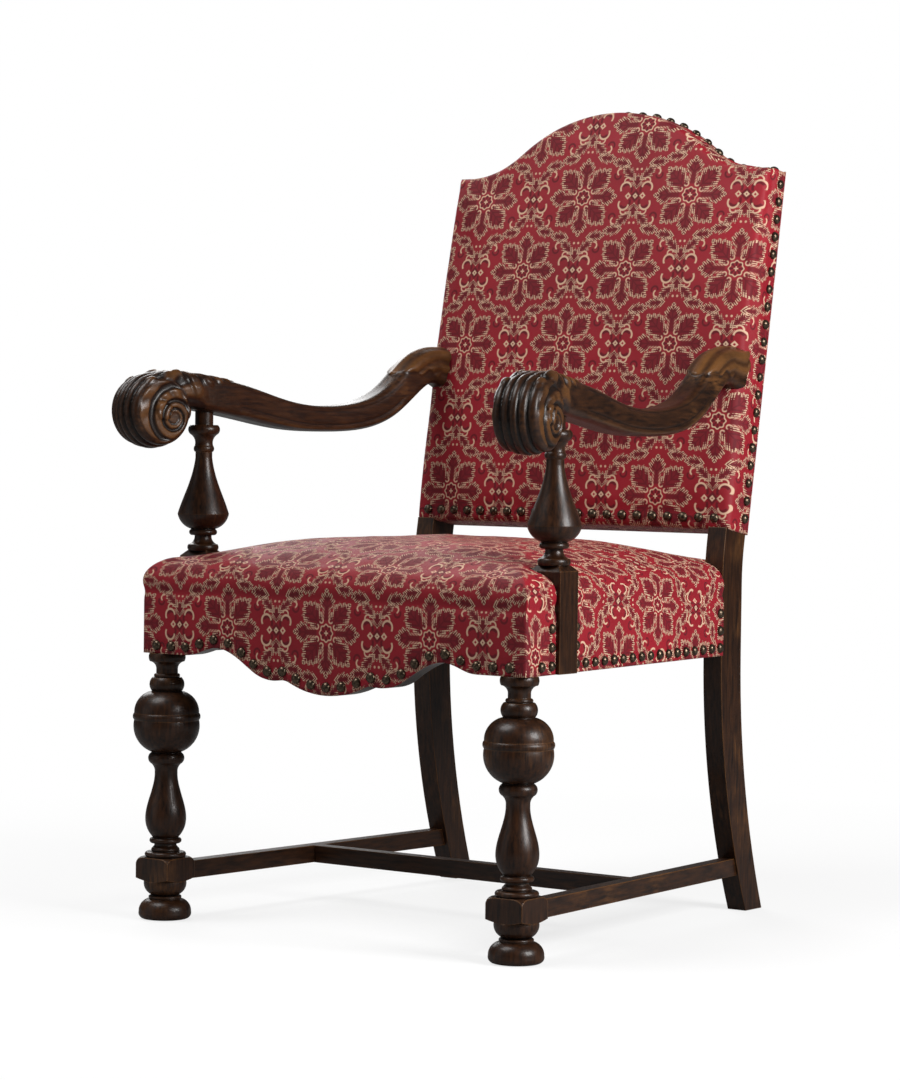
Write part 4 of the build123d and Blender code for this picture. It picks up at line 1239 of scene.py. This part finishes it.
def nail_tree(material):
    """A node tree that sets a domed head on each point, facing the point's own way."""
    tree = bpy.data.node_groups.new("nail_heads", "GeometryNodeTree")
    sockets = {"Points": "Geometry", "Head radius": "Float", "Head height": "Float", "Seed": "Int"}
    for name, kind in sockets.items():
        tree.interface.new_socket(name, in_out="INPUT", socket_type="NodeSocket" + kind)
    tree.interface.new_socket("Heads", in_out="OUTPUT", socket_type="NodeSocketGeometry")

    def node(kind, **values):
        made = tree.nodes.new(kind)
        for name, value in values.items():
            setattr(made, name, value)
        return made

    link = tree.links.new
    inputs = node("NodeGroupInput").outputs
    output = node("NodeGroupOutput")
    ball = node("GeometryNodeMeshUVSphere")
    ball.inputs["Segments"].default_value = 14
    ball.inputs["Rings"].default_value = 10
    ball.inputs["Radius"].default_value = 1.0
    place = node("GeometryNodeInputPosition")
    split = node("ShaderNodeSeparateXYZ")
    link(place.outputs[0], split.inputs[0])
    floor = node("ShaderNodeMath", operation="MAXIMUM")
    floor.inputs[1].default_value = HEAD_FLOOR
    link(split.outputs[2], floor.inputs[0])
    merge = node("ShaderNodeCombineXYZ")
    link(split.outputs[0], merge.inputs[0])
    link(split.outputs[1], merge.inputs[1])
    link(floor.outputs[0], merge.inputs[2])
    size = node("ShaderNodeCombineXYZ")
    link(inputs["Head radius"], size.inputs[0])
    link(inputs["Head radius"], size.inputs[1])
    link(inputs["Head height"], size.inputs[2])
    scaled = node("ShaderNodeVectorMath", operation="MULTIPLY")
    link(merge.outputs[0], scaled.inputs[0])
    link(size.outputs[0], scaled.inputs[1])
    dome = node("GeometryNodeSetPosition")
    link(ball.outputs["Mesh"], dome.inputs["Geometry"])
    link(scaled.outputs[0], dome.inputs["Position"])
    smooth = node("GeometryNodeSetShadeSmooth")
    link(dome.outputs[0], smooth.inputs[0])
    facing = node("GeometryNodeInputNamedAttribute", data_type="FLOAT_VECTOR")
    facing.inputs["Name"].default_value = "facing"
    align = node("FunctionNodeAlignRotationToVector", axis="Z")
    link(facing.outputs["Attribute"], align.inputs["Vector"])
    random = node("FunctionNodeRandomValue", data_type="FLOAT")
    random.inputs[2].default_value, random.inputs[3].default_value = HEAD_SPREAD
    link(inputs["Seed"], random.inputs["Seed"])
    instance = node("GeometryNodeInstanceOnPoints")
    link(inputs["Points"], instance.inputs["Points"])
    link(smooth.outputs[0], instance.inputs["Instance"])
    link(align.outputs[0], instance.inputs["Rotation"])
    link(random.outputs[1], instance.inputs["Scale"])
    real = node("GeometryNodeRealizeInstances")
    link(instance.outputs[0], real.inputs[0])
    paint = node("GeometryNodeSetMaterial")
    paint.inputs["Material"].default_value = material
    link(real.outputs[0], paint.inputs[0])
    link(paint.outputs[0], output.inputs[0])
    return tree


NAIL_NODES = ["seat_front_nails", "back_bottom_nails", "back_top_nails"]
NAIL_NODES += [row + side for row in ("seat_side_nails_", "back_side_nails_") for side in BOTH]


class ARMCHAIR_OT_nails(bpy.types.Operator):
    """Rows of domed nails round the seat and the back"""

    bl_idname = "armchair.nails"
    bl_label = "Nails"

    def execute(self, context):
        nail = context.scene.armchair.nail
        tree = nail_tree(bpy.data.materials["antique_bronze"])
        sockets = {item.name: item.identifier for item in tree.interface.items_tree if item.in_out == "INPUT"}
        for node in NAIL_NODES:
            places = nail_places(node)
            mesh = bpy.data.meshes.new(node + "_heads")
            mesh.from_pydata([place for place, axis in places], [], [])
            facing = mesh.attributes.new("facing", "FLOAT_VECTOR", "POINT")
            facing.data.foreach_set("vector", [c for place, axis in places for c in axis])
            piece = bpy.data.objects.new(node + "_heads", mesh)
            modifier = piece.modifiers.new("Heads", "NODES")
            modifier.node_group = tree
            modifier[sockets["Head radius"]] = nail.head_radius
            modifier[sockets["Head height"]] = nail.head_height
            modifier[sockets["Seed"]] = nail.seed
            context.scene.collection.objects.link(piece)
            applied(piece)
            dressed(piece, bpy.data.materials["antique_bronze"], "bronze_nails", node)
        return {"FINISHED"}


# Hidden cloth under the stuffing, and the cloth behind the back: spacing and wave of the straps, thicknesses,
# room round posts and support blocks, and how the outside back stands off its frame
STRAP_PITCH = 0.088
STRAP_WAVE = 0.0005
STRAP_THICKNESS = 0.0012
HESSIAN_THICKNESS = 0.0008
HESSIAN_ROOM = 0.001
SUPPORT_ROOM = 0.0012
OUTSIDE_THICKNESS = 0.001
OUTSIDE_LIFT = 0.0006
OUTSIDE_BOW = 0.0012
OUTSIDE_EDGE = 0.02


class ARMCHAIR_OT_webbing(bpy.types.Operator):
    """Interlaced webbing under the seat and behind the back"""

    bl_idname = "armchair.webbing"
    bl_label = "Webbing"

    def execute(self, context):
        jute = bpy.data.materials["jute_webbing"]
        back = back_matrix(context.scene.armchair.back)
        for node, along, lift, ends in (
            ("seat_webbing_lengthwise", 1, None, ["front_rail", "rear_rail"]),
            ("seat_webbing_crosswise", 0, None, ["side_rail_left", "side_rail_right"]),
            ("back_webbing_upright", 1, back, ["lower_back_rail", "crest_rail"]),
            ("back_webbing_crosswise", 0, back, ["rear_post_left", "rear_post_right"]),
        ):
            self.straps(node, along, lift, ends, jute)
        return {"FINISHED"}

    def straps(self, node, along, lift, ends, jute):
        """One layer of straps between two rails or posts, each waving past the straps that cross it."""
        patches = Patches()
        flat_width = 0.0
        flat_length = 0.0
        solids = islands(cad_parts[node].data)
        if lift is not None:
            turn = np.array(lift.inverted())
            solids = [s @ turn[:3, :3].T + turn[:3, 3] for s in solids]
        solids.sort(key=lambda s: s[:, 1 - along].mean())
        for number, solid in enumerate(solids):
            low, high = solid.min(0), solid.max(0)
            rows = []
            for part in steps(90):
                row = []
                at = low[along] + (high[along] - low[along]) * part
                wave = math.sin((at / STRAP_PITCH + number) * math.pi) * STRAP_WAVE
                for side in steps(4):
                    point = [0.0, 0.0, (low[2] + high[2]) / 2 + wave]
                    point[along] = at
                    point[1 - along] = low[1 - along] + (high[1 - along] - low[1 - along]) * side
                    row.append(tuple(point))
                rows.append(row)
            patches.add(rows)
            flat_width += high[1 - along] - low[1 - along]
            flat_length = max(flat_length, high[along] - low[along])
        piece = new_piece(node + "_jute", patches.points, patches.faces)
        mapped(piece, lambda point, middle: (point.x, point.y))
        if lift is not None:
            piece.data.transform(lift)
        thickened(piece, STRAP_THICKNESS)
        dressed(piece, jute, "webbing", node)
        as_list(ends)


class ARMCHAIR_OT_hessian(bpy.types.Operator):
    """Coarse cloth between the webbing and the stuffing, and the damask behind the back"""

    bl_idname = "armchair.hessian"
    bl_label = "Hessian and outside back"

    def execute(self, context):
        back = context.scene.armchair.back
        turn = back_matrix(back)
        weave = bpy.data.materials["hessian_weave"]
        self.seat_cloth(weave)
        self.back_cloth(weave, turn)
        self.outside(back, turn)
        return {"FINISHED"}

    def seat_cloth(self, weave):
        """Hessian over the seat's webbing, cut round the support blocks and the posts."""
        low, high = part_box("seat_hessian")
        rows = []
        for part in steps(60):
            y = low.y + (high.y - low.y) * part
            half = high.x - (y - low.y) * SIDE_SLOPE
            if y > POST_FRONT:
                half = min(half, POST_LOW.x - HESSIAN_ROOM)
            if abs(y - SUPPORT_Y) < SUPPORT_HALF + SUPPORT_ROOM:
                half = min(half, SUPPORT_INNER - HESSIAN_ROOM)
            rows.append([(half * (2 * a - 1), y, (low.z + high.z) / 2) for a in steps(60)])
        piece = grid_piece("seat_hessian_cloth", rows)
        mapped(piece, lambda point, middle: (point.x, point.y))
        thickened(piece, HESSIAN_THICKNESS)
        dressed(piece, weave, "hessian", "seat_hessian")

    def back_cloth(self, weave, turn):
        """Hessian over the back's webbing."""
        inverse = turn.inverted()
        corners = [inverse @ v.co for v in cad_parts["back_hessian"].data.vertices]
        xs, ups, ns = zip(*corners)
        low, height = min(ups), max(ups) - min(ups)
        middle = (min(ns) + max(ns)) / 2
        rows = []
        for b in steps(60):
            rows.append([(max(xs) * (2 * a - 1), low + height * b, middle) for a in steps(50)])
        piece = grid_piece("back_hessian_cloth", rows)
        mapped(piece, lambda point, middle: (point.x, point.y))
        piece.data.transform(turn)
        thickened(piece, HESSIAN_THICKNESS)
        dressed(piece, weave, "hessian", "back_hessian")
        flat = (2 * max(xs), height)

    def outside(self, back, turn):
        """Damask behind the back, bowed slightly outwards."""
        rows = []
        for b in steps(60):
            row = []
            for a in steps(60):
                x = (2 * a - 1) * BACK_HALF
                top = crest(back, x)[0] + COVER
                up = -COVER + (top + COVER) * b
                edge = min(BACK_HALF - abs(x), up + COVER, top - up)
                row.append((x, up, -OUTSIDE_LIFT - OUTSIDE_BOW * min(edge / OUTSIDE_EDGE, 1)))
            rows.append(row)
        piece = grid_piece("outside_back_cloth", rows)
        mapped(piece, lambda point, middle: (point.x + BACK_PATTERN[0], point.y + BACK_PATTERN[1]))
        piece.data.transform(turn)
        thickened(piece, OUTSIDE_THICKNESS)
        dressed(piece, bpy.data.materials["red_damask"], "damask", "outside_back_cover")


# Finishes of the frame
GRAINS = {
    "Z": ["front_leg_", "rear_post_", "arm_support_"],
    "Y": ["side_rail_", "side_stretcher_"],
    "X": ["front_rail", "rear_rail", "cross_stretcher", "lower_back_rail", "crest_rail", "corner_blocks"],
}


class ARMCHAIR_OT_finishes(bpy.types.Operator):
    """Materials, and the wood and steel of the frame"""

    bl_idname = "armchair.finishes"
    bl_label = "Finishes"

    def execute(self, context):
        woods = {grain: dark_wood("dark_wood_" + grain.lower(), grain) for grain in GRAINS}
        for grain, names in GRAINS.items():
            for name in names:
                nodes = [name + side for side in BOTH] if name.endswith("_") else [name]
                for node in nodes:
                    self.paint(node, woods[grain])
        dark_wood("carved_wood", "Y", carved=True)
        steel = bare_steel("bare_steel")
        for node in ("corner_block_screws", "arm_support_screws", "arm_screws"):
            self.paint(node, steel)
        damask("red_damask")
        antique_bronze("antique_bronze")
        coarse_weave("jute_webbing", (0.22, 0.14, 0.07, 1), (0.46, 0.34, 0.19, 1), 2.6)
        coarse_weave("hessian_weave", (0.3, 0.21, 0.11, 1), (0.52, 0.4, 0.25, 1), 2.2)
        return {"FINISHED"}

    def paint(self, node, material):
        """Gives a solid of the frame its material."""
        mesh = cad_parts[node].data
        mesh.materials.clear()
        mesh.materials.append(material)


# Stage: the floor, its colour in the light and as it is seen, lamps and the camera, with places in metres
FLOOR_HALF = 30
FLOOR_DROP = 0.0005
FLOOR_LIT = (0.3, 0.3, 0.3, 1)
FLOOR_SEEN = (0.92, 0.92, 0.92, 1)
LAMPS = (
    {"name": "key", "place": (2.9, -0.1, 1.6), "target": (0, 0, 0.6), "size": 1.2, "power": 115},
    {"name": "top", "place": (-0.9, -1.3, 3.1), "target": (0, 0.2, 0.8), "size": 1.5, "power": 60},
    {"name": "rim", "place": (-2.3, 1.6, 1.9), "target": (0, 0.1, 0.7), "size": 1.6, "power": 34},
    {"name": "fill", "place": (-2.0, -2.8, 1.0), "target": (0, 0, 0.5), "size": 2.4, "power": 8},
)
CAMERA_PLACE = (2.6689, LEG_Y - 3.3448, 0.6497)
CAMERA_TURN = math.radians(36.72)
CAMERA_PITCH = math.radians(-1.99)
CAMERA_ROLL = math.radians(0.7)
CAMERA_LENS = 114.63
CAMERA_SENSOR = 36.0


class ARMCHAIR_OT_stage(bpy.types.Operator):
    """Pale floor, soft lamps and the camera"""

    bl_idname = "armchair.stage"
    bl_label = "Stage"

    def execute(self, context):
        scene = context.scene
        scene.view_settings.view_transform = "Standard"
        self.floor()
        self.world(scene)
        for lamp in LAMPS:
            self.lamp(scene, **lamp)
        self.camera(scene)
        return {"FINISHED"}

    def floor(self):
        """A floor that takes the shadow and fades to white with distance."""
        ends = (-FLOOR_HALF, FLOOR_HALF)
        floor = grid_piece("floor", [[(x, y, -FLOOR_DROP) for x in ends] for y in ends])
        finish = Finish("pale_floor")
        finish.constant(Roughness=0.9)
        path = finish.node("ShaderNodeLightPath")
        seen = Term(finish.tree, path.outputs["Is Camera Ray"])
        finish.drive(Base_Color=finish.blend(seen, FLOOR_LIT, FLOOR_SEEN))
        glow = finish.node("ShaderNodeEmission")
        mix = finish.node("ShaderNodeMixShader")
        x, y, _ = finish.parts(finish.place())
        distance = reach(x, y)
        finish.link(seen * (distance.over(1.1, 1.0) * 0.25 + 0.75), mix.inputs[0])
        finish.link(finish.shader.outputs[0], mix.inputs[1])
        finish.link(glow.outputs[0], mix.inputs[2])
        out = finish.tree.nodes["Material Output"]
        finish.link(mix.outputs[0], out.inputs["Surface"])
        floor.data.materials.append(finish.material)

    def world(self, scene):
        """A white backdrop that adds little light, and is dim in reflections."""
        world = bpy.data.worlds.new("studio")
        world.use_nodes = True
        tree = world.node_tree
        background = tree.nodes["Background"]
        path = tree.nodes.new("ShaderNodeLightPath")
        seen = Term(tree, path.outputs["Is Camera Ray"])
        glossy = Term(tree, path.outputs["Is Glossy Ray"])
        strength = seen * 0.86 + 0.14 - glossy * 0.06
        background.inputs["Color"].default_value = (1, 1, 1, 1)
        tree.links.new(strength.socket, background.inputs["Strength"])
        scene.world = world

    def lamp(self, scene, name, place, target, size, power):
        """A square lamp turned to its target."""
        light = bpy.data.lights.new(name, "AREA")
        light.energy = power
        light.size = size
        lamp = bpy.data.objects.new(name, light)
        lamp.location = place
        lamp.rotation_euler = (Vector(target) - Vector(place)).to_track_quat("-Z", "Y").to_euler()
        scene.collection.objects.link(lamp)

    def camera(self, scene):
        """The camera, turned to the chair's left side, slightly downwards and rolled."""
        turn, pitch, roll = CAMERA_TURN, CAMERA_PITCH, CAMERA_ROLL
        right = Vector((math.cos(turn), math.sin(turn), 0))
        ahead = Vector((-math.sin(turn), math.cos(turn), 0))
        up = Vector((0, 0, 1))
        forward = ahead * math.cos(pitch) + up * math.sin(pitch)
        lifted = up * math.cos(pitch) - ahead * math.sin(pitch)
        across = right * math.cos(roll) + lifted * math.sin(roll)
        upward = lifted * math.cos(roll) - right * math.sin(roll)
        lens = bpy.data.cameras.new("camera")
        lens.lens = CAMERA_LENS
        lens.sensor_width = CAMERA_SENSOR
        lens.clip_start = 0.1
        lens.clip_end = 200.0
        camera = bpy.data.objects.new("camera", lens)
        rotation = Matrix((across, upward, -forward)).transposed().to_4x4()
        rotation.translation = Vector(CAMERA_PLACE)
        camera.matrix_world = rotation
        scene.collection.objects.link(camera)
        scene.camera = camera


class ARMCHAIR_PT_panel(bpy.types.Panel):
    """The armchair's steps and settings"""

    bl_idname = "ARMCHAIR_PT_panel"
    bl_label = "Armchair"
    bl_space_type = "VIEW_3D"
    bl_region_type = "UI"
    bl_category = "Armchair"

    def draw(self, context):
        for operator in OPERATORS:
            self.layout.operator(operator.bl_idname)
        settings = context.scene.armchair
        for name in ("seat", "back", "cloth", "wood", "nail", "arm"):
            box = self.layout.box()
            box.label(text=name.capitalize())
            group = getattr(settings, name)
            for key in group.bl_rna.properties.keys():
                if key not in ("rna_type", "name"):
                    box.prop(group, key)


OPERATORS = (
    ARMCHAIR_OT_finishes,
    ARMCHAIR_OT_arms,
    ARMCHAIR_OT_seat,
    ARMCHAIR_OT_back,
    ARMCHAIR_OT_webbing,
    ARMCHAIR_OT_hessian,
    ARMCHAIR_OT_nails,
    ARMCHAIR_OT_stage,
)
SETTINGS = (
    SeatSettings,
    BackSettings,
    ClothSettings,
    WoodSettings,
    NailSettings,
    ArmSettings,
    ArmchairSettings,
)
CLASSES = SETTINGS + OPERATORS + (ARMCHAIR_PT_panel,)


def register():
    for kind in CLASSES:
        bpy.utils.register_class(kind)
    bpy.types.Scene.armchair = PointerProperty(type=ArmchairSettings)


def unregister():
    del bpy.types.Scene.armchair
    for kind in reversed(CLASSES):
        bpy.utils.unregister_class(kind)


def main():
    register()
    for operator in OPERATORS:
        area, name = operator.bl_idname.split(".")
        getattr(getattr(bpy.ops, area), name)()
    bpy.context.view_layer.update()


if __name__ == "__main__":
    main()
